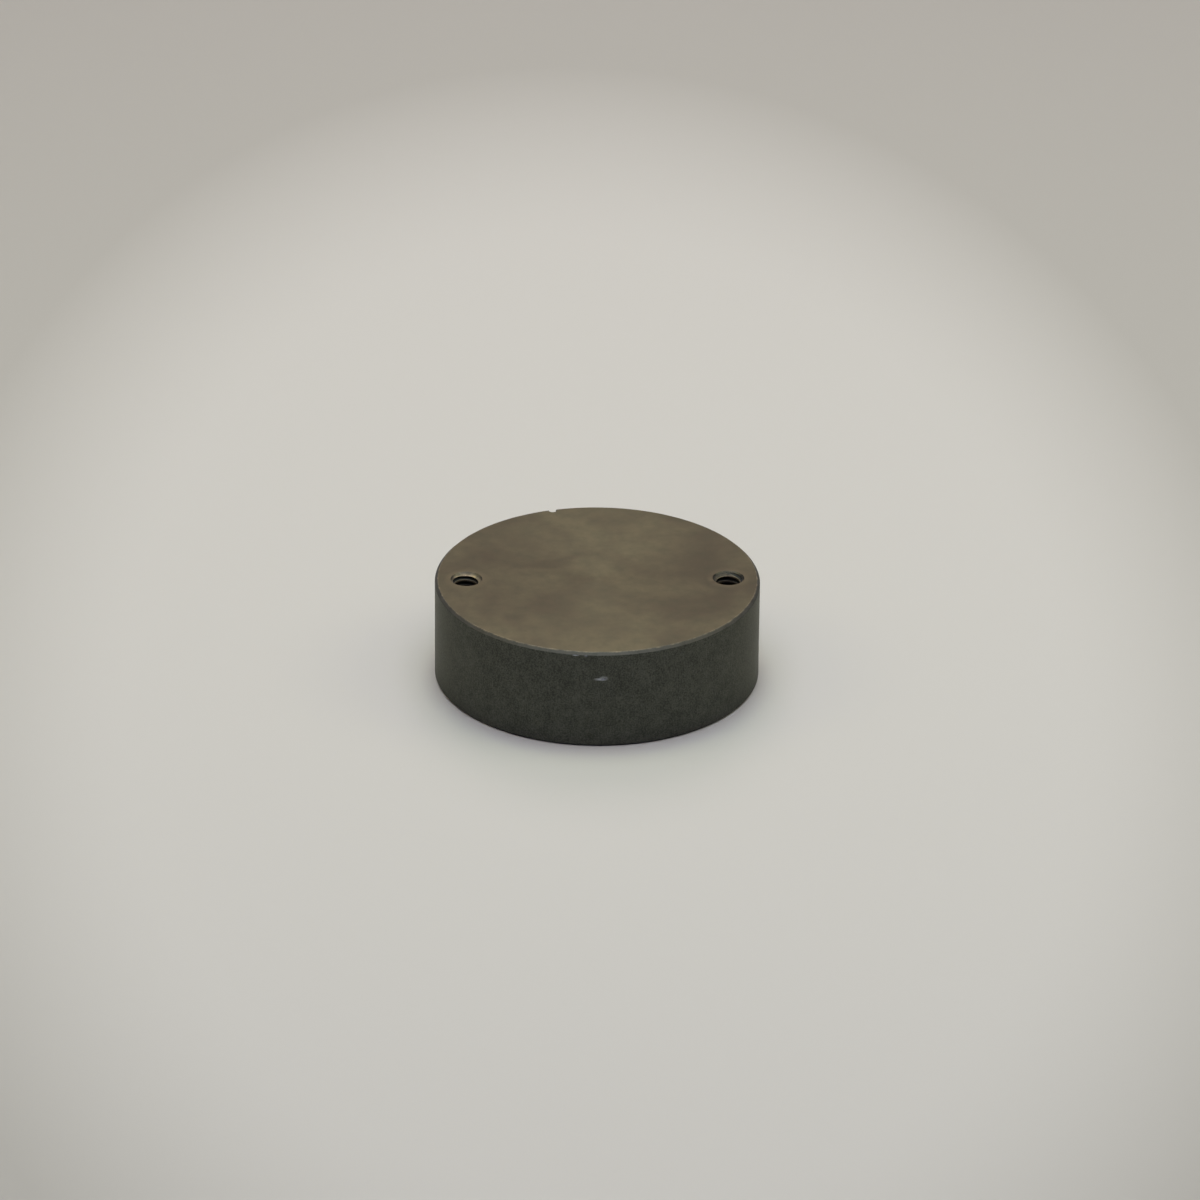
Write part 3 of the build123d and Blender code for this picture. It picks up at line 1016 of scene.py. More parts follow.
def dress(
    piece: Piece, slot: Slot, body: Body, node: str | None = None, sharp_deg: float = 24.0,
    finish: Finish | None = None,
) -> Piece:
    """Finish a piece: shading, the material of the slot's finish, body, and the CAD node that it stands for, which is
    hidden.

    Args:
        piece: The finished mesh.
        slot: Its material slot and finish.
        body: Body that it rides on.
        node: CAD node that it replaces, if any.
        sharp_deg: Edges sharper than this stay crisp.
        finish: Finish to use in place of the slot's own.

    Returns:
        The same piece.
    """
    name, usual = slot.value
    mesh = piece.data
    mesh.polygons.foreach_set("use_smooth", [True] * len(mesh.polygons))
    mesh.set_sharp_from_angle(angle=math.radians(sharp_deg))
    mesh.materials.clear()
    mesh.materials.append((finish or usual).material())
    mesh.polygons.foreach_set("material_index", [0] * len(mesh.polygons))
    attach(piece, body.value)
    if node:
        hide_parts(node)
    log.info("%-28s %6d faces, rides on %s", piece.name, len(mesh.polygons), body.value)
    return piece


# ---------------------------------------------------------------------------------------------------------
# The shell
# ---------------------------------------------------------------------------------------------------------
@dataclass
class Shell:
    """The blackened steel cup with its two tapped holes, its nick and its knocks."""

    room: Room = field(default_factory=lambda: Room.of("housing"))
    chamfer: float = 0.6
    foot_chamfer: float = 0.4
    roof: float = 3.825
    chamber_radius: float = 19.5
    closure_radius: float = 22.5
    ledge: float = 8.0
    groove_radius: float = 23.8
    groove: Point = (1.25, 3.0)
    hole_offset: float = 28.125
    mouth_radius: float = 3.4
    thread: ScrewThread = ScrewThread(major=6.4, minor=5.1, pitch=1.27)
    left_thread_turn: float = 199.0
    right_thread_turn: float = -19.0
    nick_radius: float = 0.9
    nick_depth: float = 1.7
    nick_height: float = 2.6
    nick_angle: float = 105.2
    break_edge: float = 0.12
    knocks: tuple[tuple[float, float, Corner, float], ...] = (
        (-89.2, 16.2, (0.5, 0.75, 0.4), 0.3),
        (-99.0, 21.6, (0.25, 0.8, 0.14), 0.1),
        (-95.4, 21.5, (0.25, 0.35, 0.16), 0.1),
    )

    def cup(self) -> Piece:
        """Turn the cup's section, every edge broken a little."""
        r, top, b = self.room.radius, self.room.high, self.break_edge
        low, high = self.groove
        corners = [
            (0, top, 0), (r - self.chamfer, top, b), (r, top - self.chamfer, b), (r, self.foot_chamfer, b),
            (r - self.foot_chamfer, 0, b), (self.closure_radius, 0, 0.15), (self.closure_radius, low, 0.05),
            (self.groove_radius, low, 0.1), (self.groove_radius, high, 0.1), (self.closure_radius, high, 0.05),
            (self.closure_radius, self.ledge, 0.15), (self.chamber_radius, self.ledge, 0.1),
            (self.chamber_radius, top - self.roof, 0.4), (0, top - self.roof, 0),
        ]
        return turned("housing_cup", eased(corners), 256)

    def countersink(self, top: float, bottom: float) -> Piece:
        """Make the cone that opens a tapped hole's mouth.

        Args:
            top: Height of the face that it opens.
            bottom: Height towards which it narrows: above or below the face.

        Returns:
            A closed cone on the Z axis.
        """
        minor = self.thread.minor / 2
        depth = self.mouth_radius - minor
        way = math.copysign(1, bottom - top)
        outline = [
            (0, top - way), (self.mouth_radius + 1, top - way), (minor - 0.4, top + way * (depth + 0.4)),
            (0, top + way * (depth + 0.4)),
        ]
        return turned("countersink", outline, 96)

    def tapped_hole(self, side: int) -> list[Piece]:
        """Make the cutters of one hole: its thread and both mouths.

        Args:
            side: -1 for the left hole, 1 for the right one.

        Returns:
            Closed solids in place.
        """
        top = self.room.high
        turn = self.left_thread_turn if side < 0 else self.right_thread_turn
        plug = self.thread.plug("thread", 0, top, turn)
        cutters = [plug, self.countersink(top, 0), self.countersink(0, top)]
        return [move(cutter, 0, (side * self.hole_offset, 0, 0)) for cutter in cutters]

    def knock(self, angle: float, height: float, size: Sequence[float], sink: float) -> Piece:
        """Make the solid that a small knock leaves out of the side.

        Args:
            angle: Where it is round the side, in degrees.
            height: Height of its middle.
            size: Half its depth, width and height.
            sink: How far its middle lies outside the side.

        Returns:
            An ellipsoid in place.
        """
        rings, segments = 12, 24
        outline = [
            (math.sin(math.pi * k / rings), math.cos(math.pi * k / rings)) for k in range(rings + 1)
        ]
        outline = [(0, 1)] + outline[1:-1] + [(0, -1)]
        ball = turned("knock", outline, segments)
        ball.data.transform(Matrix.Diagonal((*size, 1)))
        return move(ball, angle, (self.room.radius + sink, 0, height))

    def build(self) -> None:
        """Cut the holes, the nick and the knocks, and dress the cup."""
        cup = self.cup()
        for side in (-1, 1):
            combine(cup, Cut.REMOVE, self.tapped_hole(side))
        top = self.room.high
        inner = [math.pi * (0.5 + k / 24) for k in range(25)]
        slot = [(self.nick_radius * math.cos(a), self.nick_radius * math.sin(a)) for a in inner]
        nick = prism("nick", [*slot, (4, -self.nick_radius), (4, self.nick_radius)], top - self.nick_height, top + 1)
        move(nick, self.nick_angle, (self.room.radius - self.nick_depth + self.nick_radius, 0, 0))
        knocks = [self.knock(*knock) for knock in self.knocks]
        combine(cup, Cut.REMOVE, [nick, *knocks])
        dress(cup, Slot.BLACKENED_STEEL, Body.TRAP, "housing")


# ---------------------------------------------------------------------------------------------------------
# What closes the shell from below
# ---------------------------------------------------------------------------------------------------------
@dataclass
class Closure:
    """Base plate with its ports, the spiral ring that holds it, and the graphite gaskets."""

    plate: Room = field(default_factory=lambda: Room.of("base_plate"))
    ring: Room = field(default_factory=lambda: Room.of("retaining_ring"))
    body_seal: Room = field(default_factory=lambda: Room.of("body_gasket"))
    face_seals: tuple[tuple[str, float, float], ...] = (
        ("inner_face_gasket", 6.6, 8.9),
        ("outer_face_gasket", 16.4, 18.7),
    )
    face_radius: float = 19.8
    flange_height: float = 3.0
    outlet_radius: float = 4.0
    seat_radius: float = 5.0
    port: Point = (10.0, 15.5)
    port_depth: float = 1.5
    throat: Point = (10.6, 14.9)
    throat_depth: float = 2.6
    seal_depth: float = 1.2
    seal_play: float = 0.1
    inlet_count: int = 8
    inlet_radius: float = 1.5
    inlet_circle: float = 12.75
    ring_inner: float = 20.3
    ring_play: float = 0.02
    ring_free_end: float = -79.0
    ring_step_at: float = 275.4
    ring_step_span: float = 5.2
    ring_sweep: float = 698.2
    relief_back: float = 6.0
    body_seal_inner: float = 19.6
    face_seal_ridges: int = 6

    def base_plate(self) -> None:
        """Turn the plate with its ports and seal grooves, and drill the ring of inlet holes."""
        r, top, b = self.plate.radius, self.plate.high, 0.12
        inner_groove, outer_groove = (
            self.groove(inner - self.seal_play, outer + self.seal_play, self.seal_depth)
            for _, inner, outer in self.face_seals
        )
        (port_in, port_out), (throat_in, throat_out) = self.port, self.throat
        corners = [
            (self.outlet_radius, 0, 0.2), *inner_groove,
            (port_in, 0, b), (port_in, self.port_depth, 0.05), (throat_in, self.port_depth, 0.05),
            (throat_in, self.throat_depth, 0.2), (throat_out, self.throat_depth, 0.2),
            (throat_out, self.port_depth, 0.05), (port_out, self.port_depth, 0.05), (port_out, 0, b), *outer_groove,
            (self.face_radius, 0, 0.25), (self.face_radius, self.flange_height, 0.15), (r, self.flange_height, b),
            (r, top, 0.25), (self.seat_radius, top, 0.3), (self.seat_radius, self.flange_height, 0.05),
            (self.outlet_radius, self.flange_height, 0.05),
        ]
        plate = turned("base_plate_turned", eased(corners, 3), 240)
        ir, low = self.inlet_radius, self.throat_depth
        drill = eased([
            (0, low - 1, 0), (ir + 1.25, low - 1, 0), (ir, low + 0.25, 0), (ir, top - 0.3, 0),
            (ir + 1.3, top + 1, 0), (0, top + 1, 0),
        ])
        combine(
            plate, Cut.REMOVE,
            around(lambda k: turned(f"inlet_drill_{k}", drill, 40), self.inlet_count, self.inlet_circle),
        )
        dress(plate, Slot.MACHINED_STAINLESS, Body.TRAP, "base_plate")

    @staticmethod
    def groove(inner: float, outer: float, depth: float) -> list[Corner]:
        """Give the corners of one square groove in the lower face."""
        return [(inner, 0, 0.08), (inner, depth, 0.1), (outer, depth, 0.1), (outer, 0, 0.08)]

    def spiral_ring(self) -> None:
        """Wind the two-turn ring, its end relieved so a tool can lift it."""
        layer = (self.ring.high - self.ring.low) / 2
        width = self.ring.radius - self.ring_inner
        strip = WoundStrip(
            radius=self.ring_inner + width / 2, width=width, thickness=layer - self.ring_play,
            height=self.ring.high - layer / 2,
            start=self.ring_free_end, sweep=self.ring_sweep, step_at=self.ring_step_at,
            step_span=self.ring_step_span, step_down=layer, steps=900,
        )
        ring = strip.build("retaining_ring_wound", SPRING)
        bite = eased([(-0.8, -0.9, 0), (0.8, -0.9, 0.6), (0.8, 0.9, 0.6), (-0.8, 0.9, 0)])
        relief = prism("relief", bite, self.ring.low - 0.5, self.ring.low + layer)
        end = self.ring_free_end + self.ring_sweep - 2 * 360 - self.relief_back
        combine(ring, Cut.REMOVE, [move(relief, end, (self.ring_inner, 0, 0))])
        dress(ring, Slot.SPRING_STEEL, Body.TRAP, "retaining_ring", 40)

    def gaskets(self) -> None:
        """Press the flat body gasket, and wind the two face gaskets with their fine ridges."""
        room = self.body_seal
        inner = self.body_seal_inner
        flat = [
            (inner, room.low, 0.12), (room.radius, room.low, 0.12), (room.radius, room.high, 0.12),
            (inner, room.high, 0.12),
        ]
        dress(turned("body_gasket_foil", eased(flat, 3), 200), Slot.GRAPHITE, Body.TRAP, "body_gasket")
        for node, inner, outer in self.face_seals:
            room = Room.of(node)
            pitch = (outer - inner) / self.face_seal_ridges
            under: list[Point] = []
            over: list[Point] = []
            for k in range(self.face_seal_ridges):
                x = inner + k * pitch
                steps = ((0.08, 0.05), (0.3, 0.0), (0.7, 0.0), (0.92, 0.05))
                under += [(x + a * pitch, room.low + d) for a, d in steps]
                over += [(x + a * pitch, room.high - d) for a, d in steps]
            piece = turned(node + "_wound", under + over[::-1], 200)
            dress(piece, Slot.GRAPHITE, Body.TRAP, node, 50)

    def build(self) -> None:
        """Build the closure's pieces."""
        self.base_plate()
        self.spiral_ring()
        self.gaskets()


@dataclass
class Strainer:
    """Perforated screen in the inlet port and the snap ring under it."""

    screen: Room = field(default_factory=lambda: Room.of("strainer_screen"))
    snap: Room = field(default_factory=lambda: Room.of("strainer_retainer"))
    inner: float = 10.1
    hole_radius: float = 0.45
    punch_length: float = 1.0
    rows: tuple[tuple[float, int], ...] = ((11.4, 40), (12.75, 46), (14.1, 52))
    snap_inner: float = 14.58
    snap_gap: float = 1.6
    snap_angle: float = 40.0

    def perforated(self) -> None:
        """Punch rows of small holes through a plain ring."""
        low, high, r = self.screen.low, self.screen.high, self.screen.radius
        blank = turned(
            "strainer_screen_punched",
            eased([(self.inner, low, 0.06), (r, low, 0.06), (r, high, 0.06), (self.inner, high, 0.06)], 2), 200,
        )
        values: dict[str, float | int] = {
            "Hole Radius": self.hole_radius * MM, "Middle": (low + high) / 2 * MM, "Depth": self.punch_length * MM,
        }
        for k, (radius, count) in enumerate(self.rows):
            values |= {f"Row {k} Radius": radius * MM, f"Row {k} Holes": count}
        recipe = Recipe("strainer_perforation", values)
        tree, given = recipe.tree, recipe.given
        punch = add(
            tree, "GeometryNodeMeshCylinder",
            {"Vertices": 14, "Radius": given("Hole Radius"), "Depth": given("Depth")},
        )
        punches = add(tree, "GeometryNodeJoinGeometry")
        for k in range(len(self.rows)):
            ring = add(
                tree, "GeometryNodeMeshCircle",
                {"Vertices": given(f"Row {k} Holes"), "Radius": given(f"Row {k} Radius")},
            )
            row = add(tree, "GeometryNodeInstanceOnPoints", {"Points": ring, "Instance": punch})
            tree.links.new(row.outputs[0], punches.inputs[0])
        lift = add(tree, "ShaderNodeCombineXYZ", {"Z": given("Middle")})
        lifted = add(tree, "GeometryNodeTransform", {"Geometry": punches, "Translation": lift})
        solid = add(tree, "GeometryNodeRealizeInstances", {0: lifted})
        cut = add(
            tree, "GeometryNodeMeshBoolean",
            {"Mesh 1": recipe.given("Geometry")},
            operation="DIFFERENCE", solver="EXACT",
        )
        tree.links.new(solid.outputs[0], cut.inputs["Mesh 2"])
        recipe.shape(blank, cut, SHEET)
        dress(blank, Slot.STAINLESS_SHEET, Body.TRAP, "strainer_screen")

    def snap_ring(self) -> None:
        """Bend the open ring that holds the screen up."""
        width = self.snap.radius - self.snap_inner
        middle = self.snap_inner + width / 2
        gap = math.degrees(self.snap_gap / middle)
        strip = WoundStrip(
            radius=middle, width=width, thickness=self.snap.high - self.snap.low,
            height=(self.snap.high + self.snap.low) / 2, start=self.snap_angle + gap / 2, sweep=360 - gap,
            corner=0.2,
        )
        dress(strip.build("strainer_retainer_bent", SPRING), Slot.SPRING_STEEL, Body.TRAP, "strainer_retainer", 40)

    def build(self) -> None:
        """Build the screen and its ring."""
        self.perforated()
        self.snap_ring()


@dataclass
class OutletSeat:
    """Hexagon-headed valve seat screwed into the base plate, with its copper gasket."""

    room: Room = field(default_factory=lambda: Room.of("outlet_seat"))
    washer: Room = field(default_factory=lambda: Room.of("seat_gasket"))
    orifice: float = 1.4
    bore: float = 2.6
    lip: float = 2.2
    neck: float = 3.2
    head_low: float = 7.7
    head_high: float = 9.4
    flats: float = 13.0
    crown: float = 6.5
    throat: Point = (5.7, 6.9)
    thread: ScrewThread = ScrewThread(major=9.9, minor=8.7, pitch=1.0)
    washer_inner: float = 5.05

    def shank(self) -> Piece:
        """Cut the external thread on a hollow shank."""
        low, high = self.room.low, self.head_low + 0.3
        tip, neck = self.thread.major / 2 + 0.2, self.thread.minor / 2 - 0.1
        corners = [
            (0, low, 0), (tip - 0.8, low, 0), (tip, low + 0.8, 0), (tip, self.head_low - 0.7, 0),
            (neck, self.head_low - 0.35, 0.05), (neck, high, 0), (0, high, 0),
        ]
        blank = turned("outlet_seat_threaded", eased(corners, 3), 96)
        rod = self.thread.plug("rod", low, high + 1.0, 1.7, 90)
        return combine(blank, Cut.KEEP, [rod])

    def head(self) -> Piece:
        """Mill the hexagon under a crown, with the lapped lip on top."""
        corner = self.flats / math.sqrt(3)
        flats = [(corner * math.cos(math.radians(60 * k)), corner * math.sin(math.radians(60 * k))) for k in range(6)]
        hexagon = prism("hexagon", flats, self.head_low, self.room.high + 1)
        low, high, top = self.head_low, self.head_high, self.room.high
        corners = [
            (0, low, 0), (self.crown, low, 0.05), (corner + 0.05, low + 0.35, 0.05),
            (corner + 0.05, high - 0.6, 0.05), (self.crown - 0.1, high, 0.05), (self.neck, high, 0.15),
            (self.lip, top, 0.06), (0, top, 0),
        ]
        return combine(turned("crowned_head", eased(corners, 3), 120), Cut.KEEP, [hexagon])

    def build(self) -> None:
        """Join the shank to the head, bore both, and lay the gasket."""
        seat = combine(self.shank(), Cut.ADD, [self.head()])
        low, top = self.room.low, self.room.high
        start, end = self.throat
        passage = [
            (0, low - 1, 0), (self.bore + 1.2, low - 1, 0), (self.bore, low + 0.2, 0), (self.bore, start, 0.3),
            (self.orifice, end, 0.2), (self.orifice, top - 0.08, 0), (self.orifice + 1.08, top + 1, 0),
            (0, top + 1, 0),
        ]
        combine(seat, Cut.REMOVE, [turned("passage", eased(passage, 4), 72)])
        dress(seat, Slot.HARDENED_STAINLESS, Body.TRAP, "outlet_seat", 28)
        w = self.washer
        flat = [
            (self.washer_inner, w.low, 0.1), (w.radius, w.low, 0.1), (w.radius, w.high, 0.1),
            (self.washer_inner, w.high, 0.1),
        ]
        dress(turned("seat_gasket_pressed", eased(flat, 4), 96), Slot.COPPER, Body.TRAP, "seat_gasket")


# ---------------------------------------------------------------------------------------------------------
# The thermostatic capsule
# ---------------------------------------------------------------------------------------------------------
@dataclass
class CapsuleMount:
    """Windowed carrier that the capsule stands in, and the three-legged spring that holds it down."""

    carrier: Room = field(default_factory=lambda: Room.of("capsule_carrier"))
    spring: Room = field(default_factory=lambda: Room.of("hold_down_spring"))
    bore: float = 17.9
    ledge: tuple[float, float, float] = (16.2, 10.8, 11.6)
    windows: int = 6
    window: tuple[float, float, float] = (6.5, 8.0, 10.2)
    legs: int = 3
    leg_width: float = 5.0
    hub: Point = (5.0, 9.0)
    gauge: float = 0.4
    knee: Point = (9.3, 18.4)
    toe: Point = (14.9, 13.6)
    toe_end: float = 17.0
    overtravel_keep: float = 0.846

    def windowed_carrier(self) -> None:
        """Turn the carrier and mill its round-ended windows."""
        r, low, high = self.carrier.radius, self.carrier.low, self.carrier.high
        inner, ledge_low, ledge_high = self.ledge
        corners = [
            (self.bore, low, 0.1), (r, low, 0.2), (r, high, 0.25), (self.bore, high, 0.25),
            (self.bore, ledge_high, 0.1), (inner, ledge_high, 0.15), (inner, ledge_low, 0.15),
            (self.bore, ledge_low - 0.4, 0.1),
        ]
        carrier = turned("capsule_carrier_milled", eased(corners, 4), 240)
        width, bottom, top = self.window
        half = (top - bottom) / 2
        slot = eased(
            [
                (bottom, -width / 2, half * 0.98), (top, -width / 2, half * 0.98), (top, width / 2, half * 0.98),
                (bottom, width / 2, half * 0.98),
            ],
            8,
        )

        def mill(k: int) -> Piece:
            """Lay one window's cutter on its side."""
            cutter = prism(f"window_{k}", slot, -3, 3)
            cutter.data.transform(Matrix(((0, 0, 1, 0), (0, 1, 0, 0), (1, 0, 0, 0), (0, 0, 0, 1))))
            cutter.data.flip_normals()
            return cutter

        combine(carrier, Cut.REMOVE, around(mill, self.windows, (self.bore + r) / 2, 30))
        dress(carrier, Slot.MACHINED_STAINLESS, Body.TRAP, "capsule_carrier")

    def leg(self, k: int) -> Piece:
        """Bend one leg from strip with rounded bends, its toe flat on the capsule."""
        g = self.gauge
        (knee_x, knee_z), (toe_x, toe_z) = self.knee, self.toe
        start = self.hub[1] - 1
        corners = [
            (start, knee_z, 0), (knee_x, knee_z, 0.9), (toe_x, toe_z, 0.6), (self.toe_end, toe_z, 0.15),
            (self.toe_end, toe_z - g, 0.15), (toe_x - 0.2, toe_z - g, 0.9), (knee_x - 0.2, knee_z - g, 0.6),
            (start, knee_z - g, 0),
        ]
        half = self.leg_width / 2
        leg = prism(f"spring_leg_{k}", eased(corners, 6), -half, half)
        leg.data.transform(Matrix(((1, 0, 0, 0), (0, 0, -1, 0), (0, 1, 0, 0), (0, 0, 0, 1))))
        outline = eased(
            [
                (start - 1, -half - 0.2, 0), (knee_x, -half, 0), (self.toe_end, -half + 0.5, 1.4),
                (self.toe_end, half - 0.5, 1.4), (knee_x, half, 0), (start - 1, half + 0.2, 0),
            ],
            8,
        )
        return combine(leg, Cut.KEEP, [prism("blank", outline, toe_z - 2, knee_z + 1)])

    def hold_down_spring(self) -> None:
        """Join three legs to the pierced hub."""
        inner, outer = self.hub
        high, low = self.spring.high, self.spring.high - self.gauge
        ring = [(inner, low, 0.1), (outer, low, 0.1), (outer, high, 0.1), (inner, high, 0.1)]
        spring = turned("hold_down_spring_bent", eased(ring, 3), 120)
        legs = [move(self.leg(k), 90 + 360 * k / self.legs) for k in range(self.legs)]
        combine(spring, Cut.ADD, legs)
        dress(spring, Slot.SPRING_STEEL, Body.TRAP, "hold_down_spring", 35)
        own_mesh(spring)

    def build(self) -> None:
        """Build the carrier and the spring."""
        self.windowed_carrier()
        self.hold_down_spring()


@dataclass
class Capsule:
    """Two pressed plates with a pair of corrugated leaves between them, welded round the rim."""

    bottom: Room = field(default_factory=lambda: Room.of("capsule_bottom_plate"))
    top: Room = field(default_factory=lambda: Room.of("capsule_top_plate"))
    leaves: tuple[str, ...] = ("diaphragm_lower", "diaphragm_upper")
    plug: Room = field(default_factory=lambda: Room.of("fill_plug"))
    opening: float = 6.0
    vents: int = 8
    vent_radius: float = 1.0
    vent_circle: float = 10.0
    foil: float = 0.2
    leaf_hole: float = 1.0
    leaf_flat: float = 4.0
    leaf_clamp: float = 14.0
    leaf_rise: float = 1.5
    corrugation_pitch: float = 2.2
    corrugation_depth: float = 0.1
    corrugation_ease: float = 0.8
    weld_inset: float = 0.16
    bead: float = 0.3
    ripples: int = 220
    ripple_steps: int = 8
    ripple_depth: float = 0.12
    stroke_keep: float = 0.213

    def plates(self) -> None:
        """Press the vented bottom plate and the domed top plate."""
        r, low, high = self.bottom.radius - self.weld_inset, self.bottom.low, self.bottom.high
        flat = [(self.opening, low, 0.25), (r, low, 0.2), (r, high, 0.02), (self.opening, high, 0.25)]
        plate = turned("capsule_bottom_plate_pressed", eased(flat, 4), 200)
        vr = self.vent_radius
        vent = [
            (0, low - 1), (vr + 1.1, low - 1), (vr, low + 0.1), (vr, high - 0.1), (vr + 1.1, high + 1), (0, high + 1),
        ]
        combine(plate, Cut.REMOVE, around(lambda k: turned(f"vent_{k}", vent, 32), self.vents, self.vent_circle))
        dress(plate, Slot.STAINLESS_SHEET, Body.CAPSULE, "capsule_bottom_plate")

        low, high = self.top.low, self.top.high
        dome = [
            (r, low, 0.02), (r, low + 0.6, 0.2), (14.6, low + 0.6, 0.5), (10.8, high, 1.0), (1.2, high, 0.05),
            (1.2, high - 0.6, 0.05), (10.5, high - 0.6, 0.6), (14.3, low, 0.8),
        ]
        dress(
            turned("capsule_top_plate_pressed", eased(dome, 6), 200), Slot.STAINLESS_SHEET, Body.CAPSULE,
            "capsule_top_plate",
        )

    def leaf(self, node: str) -> None:
        """Form one leaf: a dished disc whose slope is pressed into round corrugations.

        Args:
            node: CAD node of the leaf.
        """
        room = Room.of(node)
        edge, flat, clamp = room.low, self.leaf_flat, self.leaf_clamp
        reach = self.bottom.radius - self.weld_inset
        count = 72
        radii = [self.leaf_hole] + [flat + (clamp - flat) * k / count for k in range(count + 1)] + [reach]

        def rise(radius: float) -> float:
            """Height of the leaf's underside above its clamped edge."""
            return self.leaf_rise * min(1.0, max(0.0, (clamp - radius) / (clamp - flat)))

        under = [(r, edge + rise(r)) for r in radii]
        over = [(r, z + self.foil) for r, z in reversed(under)]
        piece = turned(node + "_formed", under + over, 160)
        recipe = Recipe(
            node + "_corrugation",
            {
                "Inner": flat * MM, "Outer": clamp * MM, "Pitch": self.corrugation_pitch * MM,
                "Depth": self.corrugation_depth * MM, "Ease": self.corrugation_ease * MM,
            },
        )
        tree, given = recipe.tree, recipe.given
        where = add(tree, "GeometryNodeInputPosition")
        level = add(tree, "ShaderNodeVectorMath", {0: where, 1: (1, 1, 0)}, operation="MULTIPLY")
        radius = add(tree, "ShaderNodeVectorMath", {0: level}, operation="LENGTH")
        inwards = add(tree, "ShaderNodeMath", {0: radius, 1: given("Inner")}, operation="SUBTRACT")
        outwards = add(tree, "ShaderNodeMath", {0: given("Outer"), 1: radius}, operation="SUBTRACT")
        nearest = add(tree, "ShaderNodeMath", {0: inwards, 1: outwards}, operation="MINIMUM")
        fade = add(
            tree, "ShaderNodeMapRange", {"Value": nearest, "From Max": given("Ease")}, interpolation_type="SMOOTHSTEP"
        )
        turns = add(tree, "ShaderNodeMath", {0: inwards, 1: given("Pitch")}, operation="DIVIDE")
        phase = add(tree, "ShaderNodeMath", {0: turns, 1: math.tau}, operation="MULTIPLY")
        wave = add(tree, "ShaderNodeMath", {0: phase}, operation="SINE")
        swing = add(tree, "ShaderNodeMath", {0: wave, 1: given("Depth")}, operation="MULTIPLY")
        height = add(tree, "ShaderNodeMath", {0: swing, 1: fade}, operation="MULTIPLY")
        offset = add(tree, "ShaderNodeCombineXYZ", {"Z": height})
        formed = add(tree, "GeometryNodeSetPosition", {"Geometry": given("Geometry"), "Offset": offset})
        recipe.shape(piece, formed, FOIL)
        dress(piece, Slot.DIAPHRAGM_ALLOY, Body.CAPSULE, node)
        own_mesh(piece)

    def fill_plug(self) -> None:
        """Turn the plug that seals the fill, with its welded shoulder."""
        low, high = self.plug.low, self.plug.high
        corners = [
            (0, low, 0), (1.15, low, 0.1), (1.15, low + 0.6, 0.05), (2.0, low + 0.6, 0.05), (1.7, low + 1.0, 0.3),
            (1.0, high, 0.3), (0, high, 0),
        ]
        dress(turned("fill_plug_welded", eased(corners, 5), 64), Slot.STAINLESS_SHEET, Body.CAPSULE, "fill_plug")

    def rim_weld(self) -> None:
        """Run the rippled weld bead round the rim."""
        recipe = Recipe(
            "rim_weld_ripples",
            {
                "Radius": (self.top.radius - self.bead - 0.02) * MM, "Height": (self.bottom.high + self.foil) * MM,
                "Bead": self.bead * MM, "Ripples": self.ripples, "Steps": self.ripples * self.ripple_steps,
                "Depth": self.ripple_depth,
            },
        )
        tree, given = recipe.tree, recipe.given
        circle = add(
            tree, "GeometryNodeCurvePrimitiveCircle", {"Resolution": given("Steps"), "Radius": given("Radius")}
        )
        along = add(tree, "GeometryNodeInputIndex")
        phase = add(tree, "ShaderNodeMath", {0: along, 1: given("Ripples")}, operation="MULTIPLY")
        turn = add(tree, "ShaderNodeMath", {0: phase, 1: given("Steps")}, operation="DIVIDE")
        half_turns = add(tree, "ShaderNodeMath", {0: turn, 1: math.pi}, operation="MULTIPLY")
        wave = add(tree, "ShaderNodeMath", {0: half_turns}, operation="SINE")
        ripple = add(tree, "ShaderNodeMath", {0: wave}, operation="ABSOLUTE")
        dip = add(tree, "ShaderNodeMath", {0: 1.0, 1: ripple}, operation="SUBTRACT")
        shrink = add(tree, "ShaderNodeMath", {0: dip, 1: given("Depth")}, operation="MULTIPLY")
        swell = add(tree, "ShaderNodeMath", {0: 1.0, 1: shrink}, operation="SUBTRACT")
        lift = add(tree, "ShaderNodeCombineXYZ", {"Z": given("Height")})
        raised = add(tree, "GeometryNodeSetPosition", {"Geometry": circle, "Offset": lift})
        section = add(tree, "GeometryNodeCurvePrimitiveCircle", {"Resolution": 12, "Radius": given("Bead")})
        ripples = add(tree, "GeometryNodeCurveToMesh", {"Curve": raised, "Profile Curve": section, "Scale": swell})
        seam = recipe.shape(empty_piece("capsule_rim_weld"), ripples, WELD)
        dress(seam, Slot.STAINLESS_SHEET, Body.CAPSULE, finish=WELD, sharp_deg=60)

    def build(self) -> None:
        """Build the capsule's pieces."""
        self.plates()
        for node in self.leaves:
            self.leaf(node)
        self.fill_plug()
        self.rim_weld()


